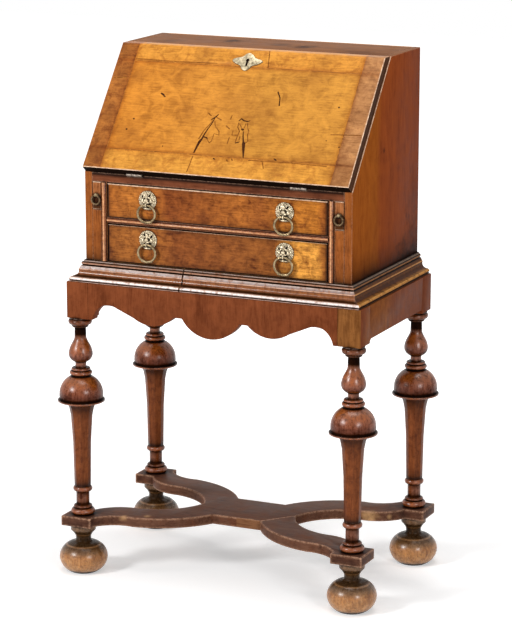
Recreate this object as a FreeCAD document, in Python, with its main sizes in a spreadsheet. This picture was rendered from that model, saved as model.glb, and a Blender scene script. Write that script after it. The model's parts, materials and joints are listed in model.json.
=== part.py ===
import FreeCAD
import Part
import Sketcher
import os
import re

# Slant-front writing bureau on a turned stand, in millimetres. The origin is on the floor at the middle
# of the four legs, +X to the right, +Y to the back, +Z up.

SIZES = {
    # stand
    "stand_overhang": 28.6,
    "leg_side_inset": 19.3,
    "leg_back_inset": 25.0,
    "apron_lead": 16.5,
    "apron_height": 70.0,
    "apron_board": 22.0,
    "apron_fillet_rise": 20.6,
    "apron_dip_rise": 11.5,
    "apron_arch_rise": 29.8,
    "side_apron_rise": 8.0,
    "post_size": 45.0,
    "bearer_width": 26.0,
    "bearer_height": 20.0,
    # stretcher
    "stretcher_board": 19.0,
    "pad_size": 62.0,
    "platform_half_length": 50.0,
    "platform_half_depth": 58.0,
    "gap_apex": 98.0,
    "arm_inset": 14.0,
    "arm_width": 59.0,
    "pad_root": 8.0,
    "pad_flare": 18.0,
    # foot, from the floor up
    "bun_belly_height": 28.5,
    "bun_crown_height": 29.5,
    "foot_cove_height": 5.0,
    "foot_neck_height": 6.0,
    "foot_flare_height": 13.0,
    "foot_collar_height": 12.0,
    "bun_radius": 46.4,
    "bun_flat_radius": 27.0,
    "bun_shoulder_radius": 19.0,
    "foot_neck_radius": 14.5,
    "foot_collar_radius": 24.0,
    # leg, heights from the stretcher up
    "base_ring_height": 13.0,
    "base_bead_height": 6.0,
    "base_cove_height": 4.0,
    "ankle_height": 22.5,
    "shaft_ring_height": 11.0,
    "shaft_height": 161.5,
    "cup_rim_height": 9.0,
    "cup_groove_height": 2.0,
    "cup_wall_height": 9.0,
    "cup_dome_height": 35.0,
    "collar_groove_height": 2.5,
    "collar_height": 8.0,
    "collar_bead_height": 6.0,
    "waist_height": 11.0,
    "pear_low_height": 20.5,
    "pear_high_height": 27.0,
    "neck_height": 20.0,
    "neck_bead_height": 5.0,
    "top_ring_height": 12.0,
    "top_plate_height": 2.0,
    # leg, radii
    "base_ring_radius": 22.8,
    "base_bead_radius": 17.8,
    "base_cove_radius": 14.5,
    "ankle_radius": 12.5,
    "shaft_ring_radius": 18.3,
    "shaft_low_radius": 15.6,
    "shaft_middle_radius": 17.2,
    "shaft_high_radius": 20.6,
    "shaft_flare_radius": 26.5,
    "cup_rim_radius": 44.7,
    "cup_groove_radius": 40.5,
    "cup_radius": 41.6,
    "cup_shoulder_radius": 18.5,
    "collar_groove_radius": 16.5,
    "collar_radius": 21.5,
    "collar_bead_radius": 18.2,
    "waist_radius": 11.0,
    "pear_radius": 22.3,
    "neck_radius": 10.9,
    "neck_bead_radius": 15.8,
    "top_ring_radius": 22.5,
    "top_plate_radius": 20.5,
    "leg_pin_radius": 8.0,
    "top_pin_length": 30.0,
    "foot_pin_length": 28.0,
    "pin_play": 0.1,
    # case
    "case_width": 540.0,
    "case_depth": 325.5,
    "case_height": 430.0,
    "case_setback": 26.0,
    "side_board": 15.4,
    "top_board": 15.0,
    "bottom_board": 17.0,
    "back_board": 8.0,
    "bed_height": 207.0,
    "bed_board": 12.0,
    "front_rail_depth": 50.0,
    "slope_angle": 51.5,
    # mouldings round the waist
    "stand_moulding_height": 16.0,
    "stand_moulding_width": 25.0,
    "stand_moulding_play": 0.3,
    "case_moulding_height": 23.5,
    "case_moulding_width": 12.3,
    "sill_rise": 0.5,
    "moulding_joint_x": -64.0,
    "moulding_joint_gap": 1.4,
    # drawers and lopers
    "lower_drawer_ratio": 0.5254,
    "divider_board": 12.0,
    "partition_board": 12.0,
    "runner_width": 24.0,
    "drawer_back_gap": 27.5,
    "drawer_front_board": 18.0,
    "drawer_side_board": 9.0,
    "drawer_bottom_board": 6.0,
    "drawer_bottom_rise": 4.0,
    "drawer_side_drop": 5.0,
    "drawer_side_play": 0.8,
    "drawer_top_play": 2.0,
    "running_play": 0.3,
    "loper_width": 17.6,
    "loper_ratio": 0.8,
    "loper_back_gap": 27.5,
    "loper_side_play": 0.5,
    "stile_depth": 20.0,
    "guide_height": 16.0,
    "vertical_bead": 9.5,
    "level_bead": 6.5,
    # fall, its hinges and its lock
    "fall_board": 17.0,
    "fall_inset": 2.0,
    "fall_play": 0.3,
    "fall_heel": 0.6,
    "hinge_spacing": 331.0,
    "hinge_length": 32.0,
    "leaf_width": 20.0,
    "leaf_board": 1.6,
    "knuckle_radius": 3.0,
    "knuckle_play": 0.4,
    "hinge_pin_radius": 1.3,
    "hinge_pin_play": 0.05,
    "screw_radius": 2.2,
    "screw_length": 9.0,
    "screw_spacing": 18.0,
    "escutcheon_width": 62.0,
    "escutcheon_height": 38.0,
    "escutcheon_plate": 1.0,
    "key_drop": 39.95,
    "keyhole_radius": 2.6,
    "key_slot_width": 2.6,
    "key_slot_length": 8.0,
    "lock_width": 56.0,
    "lock_height": 48.0,
    "lock_case_depth": 9.0,
    "lock_edge": 1.0,
    "lock_wall": 1.5,
    "bolt_size": 3.5,
    "bolt_length": 18.0,
    "bolt_throw": 8.0,
    "bolt_play": 0.4,
    "staple_width": 7.0,
    "staple_plate": 3.0,
    "flange_width": 30.0,
    "flange_height": 13.0,
    "flange_plate": 1.5,
    # pulls
    "pull_inset": 131.5,
    "upper_pull_ratio": 0.5726,
    "lower_pull_ratio": 0.6551,
    "mask_radius": 18.3,
    "mask_rim": 2.0,
    "mask_height": 9.0,
    "mask_post_radius": 2.0,
    "nut_radius": 5.0,
    "nut_height": 3.0,
    "ring_radius": 16.9,
    "ring_wire_radius": 2.25,
    "ring_drop": 8.0,
    "ring_standoff": 7.0,
    "mouth_width": 23.0,
    "mouth_depth": 6.6,
    "jaw_length": 5.0,
    "jaw_wall": 2.2,
    "ring_play": 0.6,
    "loper_pull_ratio": 0.5153,
    "stud_radius": 4.0,
    "stud_length": 3.0,
    "stud_pin_radius": 1.5,
    "stud_pin_length": 12.0,
    "loper_ring_radius": 8.4,
    "loper_ring_wire_radius": 1.3,
    "loper_jaw_length": 3.0,
    # inside the fall
    "gallery_setback": 13.1,
    "small_drawer_opening": 50.0,
    "shelf_board": 6.0,
    "small_divider": 8.0,
    "pigeon_board": 6.0,
    "pigeon_setback": 5.0,
    "small_drawer_back_gap": 7.0,
    "small_front_board": 9.0,
    "small_side_board": 5.0,
    "small_bottom_board": 4.0,
    "small_play": 0.6,
    "knob_radius": 7.0,
    "knob_length": 13.0,
    "knob_neck_radius": 3.2,
    "knob_pin_radius": 1.6,
}

SMALL_DRAWERS = 3
PIGEONHOLES = 5
SHAFT_SIDES = 8

LEG_STACK = [
    "base_ring", "base_bead", "base_cove", "ankle", "shaft_ring", "shaft",
    "cup_rim", "cup_groove", "cup_wall", "cup_dome",
    "collar_groove", "collar", "collar_bead", "waist",
    "pear_low", "pear_high", "neck", "neck_bead", "top_ring", "top_plate",
]

# sizes that follow from the others
RULES = {
    "half_case": "case_width / 2",
    "inside_half": "half_case - side_board",
    "stand_half": "half_case + stand_overhang",
    "leg_x": "stand_half - leg_side_inset",
    "leg_y": "(case_depth + case_setback - apron_lead - leg_back_inset) / 2",
    "leg_height": " + ".join(name + "_height" for name in LEG_STACK),
    "bun_height": "bun_belly_height + bun_crown_height",
    "foot_neck_level": "bun_height + foot_cove_height",
    "foot_flare_level": "foot_neck_level + foot_neck_height",
    "foot_height": "foot_flare_level + foot_flare_height + foot_collar_height",
    "stretcher_top": "foot_height + stretcher_board",
    "apron_bottom": "stretcher_top + leg_height",
    "stand_top": "apron_bottom + apron_height",
    "stand_front": "-leg_y - apron_lead",
    "case_front": "stand_front + case_setback",
    "back_face": "case_front + case_depth",
    "back_inside": "back_face - back_board",
    "case_top_level": "stand_top + case_height",
    "waist_level": "stand_top + stand_moulding_height",
    "floor_level": "waist_level + case_moulding_height + sill_rise",
    "bed_level": "stand_top + bed_height",
    "rail_under": "bed_level - fall_board",
    "lower_drawer_opening": "lower_drawer_ratio * (rail_under - floor_level - divider_board)",
    "divider_under": "floor_level + lower_drawer_opening",
    "divider_top": "divider_under + divider_board",
    "upper_drawer_opening": "rail_under - divider_top",
    "drawer_length": "case_depth - back_board - drawer_back_gap",
    "partition_outside": "inside_half - loper_width - 2 * loper_side_play",
    "partition_inside": "partition_outside - partition_board",
    "partition_middle": "partition_outside - partition_board / 2",
    "drawer_half": "partition_inside - drawer_side_play",
    "loper_top": "rail_under - 2 * fall_play",
    "loper_height": "loper_ratio * upper_drawer_opening",
    "loper_length": "case_depth - back_board - loper_back_gap",
    "loper_bottom": "loper_top - loper_height",
    "loper_middle": "inside_half - loper_side_play - loper_width / 2",
    "guide_top": "loper_bottom - running_play",
    "slope_rise": "case_height - bed_height",
    "slope_run": "slope_rise / tan(slope_angle)",
    "slope_length": "slope_rise / sin(slope_angle)",
    "gallery_front": "case_front + slope_run + gallery_setback",
    "shelf_under": "bed_level + small_drawer_opening",
    "shelf_top": "shelf_under + shelf_board",
    "top_under": "case_top_level - top_board",
    "knuckle_room": "knuckle_radius + knuckle_play",
    "knuckle_length": "(hinge_length - 2 * knuckle_play) / 3",
    "leaf_top": "fall_play + leaf_board",
    "fall_outside": "fall_play + fall_board",
    "small_drawer_bay": f"(2 * inside_half - {SMALL_DRAWERS - 1} * small_divider) / {SMALL_DRAWERS}",
    "pigeonhole": f"(2 * inside_half - {PIGEONHOLES - 1} * pigeon_board) / {PIGEONHOLES}",
    "key_height": "slope_length - key_drop",
    "lock_inside": "fall_play + lock_case_depth",
    "lock_top": "slope_length - lock_inside / tan(slope_angle) - lock_edge",
    "bolt_middle": "lock_top - lock_wall - bolt_play - staple_width / 2",
    "bolt_depth": "fall_play + lock_case_depth / 2",
    "upper_pull": "divider_top + upper_pull_ratio * upper_drawer_opening",
    "lower_pull": "floor_level + lower_pull_ratio * lower_drawer_opening",
    "loper_pull": "loper_bottom + loper_pull_ratio * loper_height",
    "jaw_bore": "ring_wire_radius + ring_play",
    "pull_spread": "case_width - 2 * pull_inset",
    "loper_jaw_bore": "loper_ring_wire_radius + ring_play",
}

# how far an arc stands out, as a share of its chord
HALF_RATIO = 0.44
QUARTER_RATIO = 0.207
FULL_RATIO = 0.29
SOFT_RATIO = 0.15
BELLY_RATIO = 0.137
CROWN_RATIO = 0.185
ARM_RATIO = 0.115
OGEE_RATIO = 0.08
SLIGHT_RATIO = 0.06

X_AXIS = FreeCAD.Vector(1, 0, 0)
Y_AXIS = FreeCAD.Vector(0, 1, 0)
Z_AXIS = FreeCAD.Vector(0, 0, 1)
QUARTER_TURN = 90
WORD = re.compile(r"[a-z]\w*")

doc = FreeCAD.newDocument("bureau")
sheet = doc.addObject("Spreadsheet::Sheet", "Sizes")
for row, (size_name, size) in enumerate(SIZES.items(), 1):
    sheet.set(f"A{row}", size_name)
    sheet.set(f"B{row}", str(size))
    sheet.setAlias(f"B{row}", size_name)
doc.recompute()

sub_parts = []


def formula(text):
    """Spells out the derived sizes and points each driving size at its cell."""
    def spell(match):
        word = match.group(0)
        if word in RULES:
            return f"({formula(RULES[word])})"
        return f"Sizes.{word}" if word in SIZES else word
    return WORD.sub(spell, str(text))


def number(text):
    """The value that a formula has now."""
    return float(sheet.evalExpression(formula(text)))


def bind(piece, prop, text):
    piece.setExpression(prop, formula(text))


def place(piece, at=("0", "0", "0"), axis=None, angle=None):
    """Puts a piece at a point, turned about an axis where one is given."""
    if axis is not None:
        piece.Placement = FreeCAD.Placement(FreeCAD.Vector(), FreeCAD.Rotation(axis, number(angle)))
        bind(piece, "Placement.Rotation.Angle", angle)
    for letter, text in zip("xyz", at):
        bind(piece, f"Placement.Base.{letter}", text)
    return piece


def block(name, low, high):
    """A board or block between two corners."""
    piece = doc.addObject("Part::Box", name)
    for prop, start, end in zip(("Length", "Width", "Height"), low, high):
        bind(piece, prop, f"({end}) - ({start})")
    return place(piece, low)


def rod(name, radius, length, middle, axis):
    """A cylinder centred on a point, along X, Y or Z."""
    piece = doc.addObject("Part::Cylinder", name)
    bind(piece, "Radius", radius)
    bind(piece, "Height", length)
    start = list(middle)
    along = "XYZ".index(axis)
    start[along] = f"({middle[along]}) - ({length}) / 2"
    if axis == "X":
        return place(piece, start, Y_AXIS, QUARTER_TURN)
    if axis == "Y":
        return place(piece, start, X_AXIS, -QUARTER_TURN)
    return place(piece, start)


def join(name, pieces):
    piece = doc.addObject("Part::MultiFuse", name)
    piece.Shapes = pieces
    return piece


def cut(name, base, tools):
    piece = doc.addObject("Part::Cut", name)
    piece.Base = base
    piece.Tool = tools[0] if len(tools) == 1 else group(name + "_tools", tools)
    return piece


def group(name, pieces):
    """Several solids kept apart under one name."""
    piece = doc.addObject("Part::Compound", name)
    piece.Links = pieces
    return piece


def on_slope(name, pieces):
    """Lays pieces drawn along the fall (Y up the slope, Z outwards from its inner face) on the slope."""
    return place(group(name, pieces), ("0", "case_front", "bed_level"), X_AXIS, "slope_angle")


def node(label, piece):
    """Names a finished sub-part."""
    piece.Label = label
    sub_parts.append(piece)
    return piece


def outline(body, plane, corners):
    """A closed sketch through corners, counter-clockwise.

    A corner's third value bends the edge that leads to it, outwards where it is positive.
    """
    sketch = body.newObject("Sketcher::SketchObject", body.Name + "_outline")
    support = [feature for feature in body.Origin.OriginFeatures if feature.Role == plane + "_Plane"]
    sketch.AttachmentSupport = [(support[0], "")]
    sketch.MapMode = "FlatFace"
    points = [FreeCAD.Vector(number(corner[0]), number(corner[1]), 0) for corner in corners]
    edges = []
    ends = []
    radii = {}
    for index, corner in enumerate(corners):
        start, end = points[index - 1], points[index]
        bend = corner[2] if len(corner) > 2 else 0
        if not bend:
            edges.append(Part.LineSegment(start, end))
            ends.append((1, 2))
            continue
        chord = end - start
        outwards = FreeCAD.Vector(chord.y, -chord.x, 0)
        middle = (start + end) / 2 + outwards * bend
        edges.append(Part.Arc(start, middle, end))
        ends.append((1, 2) if bend > 0 else (2, 1))
        radii[index] = 1 / (8 * abs(bend)) + abs(bend) / 2
    sketch.addGeometry(edges)
    rules = []
    drivers = []
    for index, corner in enumerate(corners):
        after = (index + 1) % len(corners)
        rules.append(Sketcher.Constraint("Coincident", index, ends[index][1], after, ends[after][0]))
        drivers.append(None)
        for kind, text, size in zip(("DistanceX", "DistanceY"), corner, points[index]):
            rules.append(Sketcher.Constraint(kind, -1, 1, index, ends[index][1], size))
            drivers.append(text)
    for index, share in radii.items():
        here, before = corners[index], corners[index - 1]
        chord = "sqrt((({}) - ({}))^2 + (({}) - ({}))^2)".format(here[0], before[0], here[1], before[1])
        radius = f"{share!r} * {chord}"
        rules.append(Sketcher.Constraint("Radius", index, number(radius)))
        drivers.append(radius)
    sketch.addConstraint(rules)
    for index, text in enumerate(drivers):
        if text is not None:
            bind(sketch, f"Constraints[{index}]", text)
    return sketch


def board(name, plane, corners, thickness, at=("0", "0", "0")):
    """A flat piece cut to an outline, its thickness split evenly on both sides of its plane."""
    body = doc.addObject("PartDesign::Body", name)
    pad = body.newObject("PartDesign::Pad", name + "_pad")
    pad.Profile = outline(body, plane, corners)
    bind(pad, "Length", thickness)
    pad.SideType = "Symmetric"
    body.Tip = pad
    return place(body, at)


def turned(name, corners):
    """A piece turned about Z, from its half outline (radius, height)."""
    body = doc.addObject("PartDesign::Body", name)
    profile = outline(body, "XZ", corners)
    turn = body.newObject("PartDesign::Revolution", name + "_turn")
    turn.Profile = profile
    turn.ReferenceAxis = (profile, ["V_Axis"])
    turn.Angle = 360
    body.Tip = turn
    return body


def side_name(sign):
    return "right" if sign > 0 else "left"


def depth_name(sign):
    return "back" if sign > 0 else "front"


def level(name):
    """Height of a leg element's lower end above the stretcher."""
    below = LEG_STACK[:LEG_STACK.index(name)]
    return " + ".join(item + "_height" for item in below) or "0"


def top(name):
    return f"{level(name)} + {name}_height"


def ring(name):
    """Half-round ring of a leg: its lower and upper corner."""
    inner = f"{name}_radius - {HALF_RATIO} * {name}_height"
    return [(inner, level(name)), (inner, top(name), HALF_RATIO)]


def leg():
    """One leg: turned parts, eight-sided shaft and a pin at each end."""
    foot_end = "-(stretcher_board + foot_pin_length)"
    head_end = "leg_height + top_pin_length"
    corners = [("0", foot_end), ("leg_pin_radius", foot_end), ("leg_pin_radius", "0")]
    corners += ring("base_ring") + ring("base_bead")
    corners += [("base_cove_radius", level("base_cove")), ("ankle_radius", top("base_cove"), -QUARTER_RATIO)]
    corners += [("ankle_radius", top("ankle"))]
    corners += ring("shaft_ring")
    corners += [("ankle_radius", level("shaft")), ("ankle_radius", top("shaft"))]
    corners += [
        ("shaft_flare_radius", level("cup_rim")),
        ("cup_rim_radius", f"{level('cup_rim')} + 0.7 * cup_rim_height"),
        ("cup_rim_radius", top("cup_rim")),
        ("cup_groove_radius", level("cup_groove")),
        ("cup_groove_radius", top("cup_groove")),
        ("cup_radius", top("cup_wall"), SLIGHT_RATIO),
        ("cup_shoulder_radius", top("cup_dome"), SOFT_RATIO),
        ("collar_groove_radius", level("collar_groove")),
        ("collar_groove_radius", top("collar_groove")),
    ]
    corners += ring("collar") + ring("collar_bead")
    corners += [
        ("waist_radius", level("waist")),
        ("waist_radius", top("waist"), -SLIGHT_RATIO),
        ("pear_radius", top("pear_low"), QUARTER_RATIO),
        ("0.76 * pear_radius", f"{level('pear_high')} + 0.65 * pear_high_height", OGEE_RATIO),
        ("neck_radius", top("pear_high"), -OGEE_RATIO),
        ("neck_radius", top("neck")),
    ]
    corners += ring("neck_bead") + ring("top_ring")
    corners += [
        ("top_plate_radius", level("top_plate")),
        ("top_plate_radius", "leg_height"),
        ("leg_pin_radius", "leg_height"),
        ("leg_pin_radius", head_end),
        ("0", head_end),
    ]
    sections = []
    for share, radius in (
        (0.0, "shaft_low_radius"),
        (0.53, "shaft_middle_radius"),
        (0.86, "shaft_high_radius"),
        (0.95, "0.5 * shaft_high_radius + 0.5 * shaft_flare_radius"),
        (1.0, "shaft_flare_radius"),
    ):
        section = doc.addObject("Part::RegularPolygon", "shaft_section")
        section.Polygon = SHAFT_SIDES
        bind(section, "Circumradius", radius)
        height = f"{level('shaft')} + {share} * shaft_height"
        sections.append(place(section, ("0", "0", height), Z_AXIS, 180 / SHAFT_SIDES))
    shaft = doc.addObject("Part::Loft", "leg_shaft")
    shaft.Sections = sections
    shaft.Solid = True
    shaft.Ruled = True
    return join("leg_blank", [turned("leg_turning", corners), shaft])


def foot():
    """One bun foot with the bore for the leg's pin."""
    bore = "leg_pin_radius + pin_play"
    bore_floor = "foot_height - foot_pin_length - pin_play"
    return turned("foot_turning", [
        ("0", "0"),
        ("bun_flat_radius", "0"),
        ("bun_radius", "bun_belly_height", BELLY_RATIO),
        ("bun_shoulder_radius", "bun_height", CROWN_RATIO),
        ("foot_neck_radius", "foot_neck_level", -SOFT_RATIO),
        ("foot_neck_radius", "foot_flare_level"),
        ("foot_collar_radius", "foot_flare_level + foot_flare_height", -SLIGHT_RATIO),
        ("foot_collar_radius", "foot_height"),
        (bore, "foot_height"),
        (bore, bore_floor),
        ("0", bore_floor),
    ])


def stretcher_arm(sx, sy):
    """A serpentine arm that ends in the square pad under a leg."""
    knee_x = "platform_half_length + 0.66 * (leg_x - pad_size / 2 - platform_half_length)"
    knee_y = "leg_y - arm_inset"
    inner_x = "gap_apex + 0.54 * (leg_x - gap_apex)"
    points = [
        ("platform_half_length", "platform_half_depth"),
        ("gap_apex", "0"),
        (inner_x, f"{knee_y} - arm_width", -SOFT_RATIO),
        ("leg_x - pad_root", "leg_y - pad_size / 2", SOFT_RATIO),
        ("leg_x + pad_size / 2", "leg_y - pad_size / 2"),
        ("leg_x + pad_size / 2", "leg_y + pad_size / 2"),
        ("leg_x - pad_size / 2", "leg_y + pad_size / 2"),
        ("leg_x - pad_size / 2", "leg_y + pad_flare"),
        (knee_x, knee_y, -SOFT_RATIO),
    ]
    bends = [point[2] if len(point) > 2 else 0 for point in points]
    bends[0] = ARM_RATIO
    corners = [(f"{sx} * ({x})", f"{sy} * ({y})", bend) for (x, y, *_), bend in zip(points, bends)]
    if sx * sy < 0:
        turned_bends = bends[1:] + bends[:1]
        corners = [(x, y, bend) for (x, y, _), bend in zip(corners, turned_bends)][::-1]
    name = f"arm_{depth_name(sy)}_{side_name(sx)}"
    arm = board(name, "XY", corners, "stretcher_board", ("0", "0", "stretcher_top - stretcher_board / 2"))
    centre = (f"{sx} * leg_x", f"{sy} * leg_y", "stretcher_top")
    hole = rod(name + "_hole", "leg_pin_radius + pin_play", "3 * stretcher_board", centre, "Z")
    return cut(name + "_bored", arm, [hole])


def stretcher_centre():
    """The flat middle of the stretcher, with a side for each arm."""
    corners = [
        ("-platform_half_length", "-platform_half_depth"),
        ("platform_half_length", "-platform_half_depth"),
        ("gap_apex", "0"),
        ("platform_half_length", "platform_half_depth"),
        ("-platform_half_length", "platform_half_depth"),
        ("-gap_apex", "0"),
    ]
    return board("stretcher_middle", "XY", corners, "stretcher_board",
                 ("0", "0", "stretcher_top - stretcher_board / 2"))


def corner_post(sx, sy):
    """Post at a corner of the stand, bored for the leg's upper pin."""
    near = "stand_front" if sy < 0 else "back_face - post_size"
    x_low = "stand_half - post_size" if sx > 0 else "-stand_half"
    name = f"post_{depth_name(sy)}_{side_name(sx)}"
    post = block(name, (x_low, near, "apron_bottom"),
                 (f"{x_low} + post_size", f"{near} + post_size", "stand_top"))
    centre = (f"{sx} * leg_x", f"{sy} * leg_y", "apron_bottom")
    hole = rod(name + "_hole", "leg_pin_radius + pin_play", "2 * (top_pin_length + pin_play)", centre, "Z")
    return cut(name + "_bored", post, [hole])


def front_apron():
    """Front apron with a wide middle lobe, two side lobes and an arch towards each post."""
    reach = "(stand_half - post_size)"
    half = [
        (0.229, "apron_fillet_rise", FULL_RATIO),
        (0.296, "apron_fillet_rise", 0),
        (0.62, "apron_dip_rise", CROWN_RATIO),
        (0.79, "apron_arch_rise", 0),
        (0.885, "0.96 * apron_arch_rise", -SLIGHT_RATIO),
        (0.965, "0", -ARM_RATIO),
        (1.0, "0", 0),
    ]
    right = [(f"{share} * {reach}", f"apron_bottom + {rise}", bend) for share, rise, bend in half]
    left_bends = [bend for _, _, bend in half[1:]]
    left = [(f"-{share} * {reach}", f"apron_bottom + {rise}") for share, rise, _ in half][::-1]
    left = [left[0]] + [corner + (bend,) for corner, bend in zip(left[1:], left_bends[::-1])]
    corners = left + right + [(reach, "stand_top"), (f"-{reach}", "stand_top")]
    middle = ("0", "stand_front + apron_board / 2", "0")
    return board("front_apron_board", "XZ", corners, "apron_board", middle)


def back_apron():
    return block("back_apron_board", ("-stand_half + post_size", "back_face - apron_board", "apron_bottom"),
                 ("stand_half - post_size", "back_face", "stand_top"))


def side_apron(sx):
    """Side apron with a small hollow at each end of its straight lower edge."""
    near, far = "stand_front + post_size", "back_face - post_size"
    rise = "apron_bottom + side_apron_rise"
    corners = [
        (near, "apron_bottom"),
        (f"{near} + side_apron_rise", rise, -QUARTER_RATIO),
        (f"{far} - side_apron_rise", rise),
        (far, "apron_bottom", -QUARTER_RATIO),
        (far, "stand_top"),
        (near, "stand_top"),
    ]
    return board(f"apron_{side_name(sx)}_board", "YZ", corners, "apron_board",
                 (f"{sx} * (stand_half - apron_board / 2)", "0", "0"))


def bearer(sx):
    """Strip inside a side apron that carries the case's side."""
    outer = "stand_half - apron_board"
    low_x, high_x = f"{outer} - bearer_width", outer
    if sx < 0:
        low_x, high_x = f"-({high_x})", f"-({low_x})"
    return block(f"bearer_{side_name(sx)}", (low_x, "stand_front + post_size", "stand_top - bearer_height"),
                 (high_x, "back_face - post_size", "stand_top"))


def moulding(name, profile, base_level, width, height, play):
    """Mitred lengths of a moulding round the front and sides of the case."""
    half = f"(half_case + {play})"
    front = f"(case_front - {play})"
    slit_left = "moulding_joint_x - moulding_joint_gap / 2"
    slit_right = "moulding_joint_x + moulding_joint_gap / 2"
    plans = {
        "front_left": [(f"-{half}", front), (f"-{half} - {width}", f"{front} - {width}"),
                       (slit_left, f"{front} - {width}"), (slit_left, front)],
        "front_right": [(half, front), (slit_right, front), (slit_right, f"{front} - {width}"),
                        (f"{half} + {width}", f"{front} - {width}")],
        "left": [(f"-{half}", front), (f"-{half}", "back_face"), (f"-{half} - {width}", "back_face"),
                 (f"-{half} - {width}", f"{front} - {width}")],
        "right": [(half, front), (f"{half} + {width}", f"{front} - {width}"),
                  (f"{half} + {width}", "back_face"), (half, "back_face")],
    }
    lengths = []
    for run, plan in plans.items():
        stem = f"{name}_{run}"
        if run in ("left", "right"):
            sign = 1 if run == "right" else -1
            edge = [(f"{sign} * ({half} + {x})", z, *bend) for x, z, *bend in profile]
            bar = board(stem + "_bar", "XZ", edge if sign > 0 else backwards(edge), "4 * case_depth",
                        ("0", "0", base_level))
        else:
            edge = backwards([(f"{front} - {x}", z, *bend) for x, z, *bend in profile])
            bar = board(stem + "_bar", "YZ", edge, "4 * stand_half", ("0", "0", base_level))
        ends = board(stem + "_ends", "XY", plan, f"4 * {height}", ("0", "0", base_level))
        length = doc.addObject("Part::Common", stem)
        length.Base = bar
        length.Tool = ends
        lengths.append(length)
    return lengths


def backwards(corners):
    """The mirrored outline in reverse order, each bend kept on its own edge."""
    bends = [corner[2] if len(corner) > 2 else 0 for corner in corners]
    moved = bends[1:] + bends[:1]
    return [(x, z, bend) for (x, z, *_), bend in zip(corners, moved)][::-1]


def stand_moulding():
    """Torus lip, a step and a broad hollow up to a top fillet."""
    wide, tall = "stand_moulding_width", "stand_moulding_height"
    return moulding("stand_moulding", [
        ("0", "0"),
        (f"{wide} - {HALF_RATIO} * 0.34 * {tall}", "0"),
        (f"{wide} - {HALF_RATIO} * 0.34 * {tall}", f"0.34 * {tall}", HALF_RATIO),
        (f"0.8 * {wide}", f"0.42 * {tall}"),
        (f"0.52 * {wide}", f"0.84 * {tall}", -SOFT_RATIO),
        (f"0.5 * {wide}", tall),
        ("0", tall),
    ], "stand_top", wide, tall, "stand_moulding_play")


def case_moulding():
    """Two beads parted by a groove under a thin top fillet."""
    wide, tall = "case_moulding_width", "case_moulding_height"
    return moulding("case_moulding", [
        ("0", "0"),
        (f"0.9 * {wide}", "0"),
        (f"0.9 * {wide}", f"0.1 * {tall}"),
        (f"0.82 * {wide}", f"0.4 * {tall}", FULL_RATIO),
        (f"0.66 * {wide}", f"0.44 * {tall}"),
        (f"0.5 * {wide}", f"0.72 * {tall}", FULL_RATIO),
        (f"0.34 * {wide}", f"0.78 * {tall}"),
        (f"0.22 * {wide}", f"0.96 * {tall}", -SOFT_RATIO),
        (f"0.12 * {wide}", tall),
        ("0", tall),
    ], "waist_level", wide, tall, "0")


def case_side(sx):
    """Side of the case with the slope that the fall rests on."""
    corners = [
        ("case_front", "stand_top"),
        ("back_face", "stand_top"),
        ("back_face", "case_top_level"),
        ("case_front + slope_run", "case_top_level"),
        ("case_front", "bed_level"),
    ]
    return board(f"side_{side_name(sx)}_board", "YZ", corners, "side_board",
                 (f"{sx} * (half_case - side_board / 2)", "0", "0"))


def case_top():
    """Top board, its front edge bevelled to the slope and mortised for the lock's staple."""
    corners = [
        ("case_front + slope_run - top_board / tan(slope_angle)", "top_under"),
        ("back_inside", "top_under"),
        ("back_inside", "case_top_level"),
        ("case_front + slope_run", "case_top_level"),
    ]
    blank = board("top_blank", "YZ", corners, "2 * inside_half")
    return cut("top_mortised", blank, [on_slope("staple_mortise", [staple_solid])])


def bead(name, plane, width, middle, length, at):
    """Half-round bead on the front."""
    low, high = f"{middle} - {width} / 2", f"{middle} + {width} / 2"
    if plane == "XY":
        corners = [(low, "case_front"), (high, "case_front", HALF_RATIO)]
    else:
        corners = [("case_front", high), ("case_front", low, HALF_RATIO)]
    return board(name, plane, corners, length, at)


def front_beads():
    """A bead on each loper partition and one along the rail between the drawers."""
    tall = "loper_top - floor_level"
    upright = ("0", "0", "(loper_top + floor_level) / 2")
    beads = [bead(f"bead_{side_name(sx)}", "XY", "vertical_bead", f"{sx} * partition_middle", tall, upright)
             for sx in (-1, 1)]
    beads.append(bead("bead_level", "YZ", "level_bead", "divider_under + divider_board / 2",
                      "2 * partition_inside", ("0", "0", "0")))
    return beads


def loper_guides(sx):
    """Stile below a loper's mouth and the rail that the loper runs on behind it."""
    near, far = f"{sx} * partition_outside", f"{sx} * inside_half"
    low_x, high_x = (near, far) if sx > 0 else (far, near)
    stile = block(f"stile_{side_name(sx)}", (low_x, "case_front", "floor_level"),
                  (high_x, "case_front + stile_depth", "guide_top"))
    guide = block(f"guide_{side_name(sx)}", (low_x, "case_front + stile_depth", "guide_top - guide_height"),
                  (high_x, "back_inside", "guide_top"))
    return [stile, guide]


def partition(sx):
    near, far = f"{sx} * partition_inside", f"{sx} * partition_outside"
    low_x, high_x = (near, far) if sx > 0 else (far, near)
    front = block(f"partition_front_{side_name(sx)}", (low_x, "case_front", "floor_level"),
                  (high_x, "case_front + front_rail_depth", "rail_under"))
    rear = block(f"partition_rear_{side_name(sx)}", (low_x, "case_front + front_rail_depth", "floor_level"),
                 (high_x, "back_inside", "bed_level - bed_board"))
    return join(f"partition_{side_name(sx)}", [front, rear])


def runner(sx):
    """Rail behind the divider that the upper drawer's side runs on."""
    outer = "partition_inside"
    inner = f"{outer} - runner_width"
    low_x, high_x = (inner, outer) if sx > 0 else (f"-{outer}", f"-({inner})")
    return block(f"runner_{side_name(sx)}", (low_x, "case_front + front_rail_depth", "divider_under"),
                 (high_x, "back_inside", "divider_top"))


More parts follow.
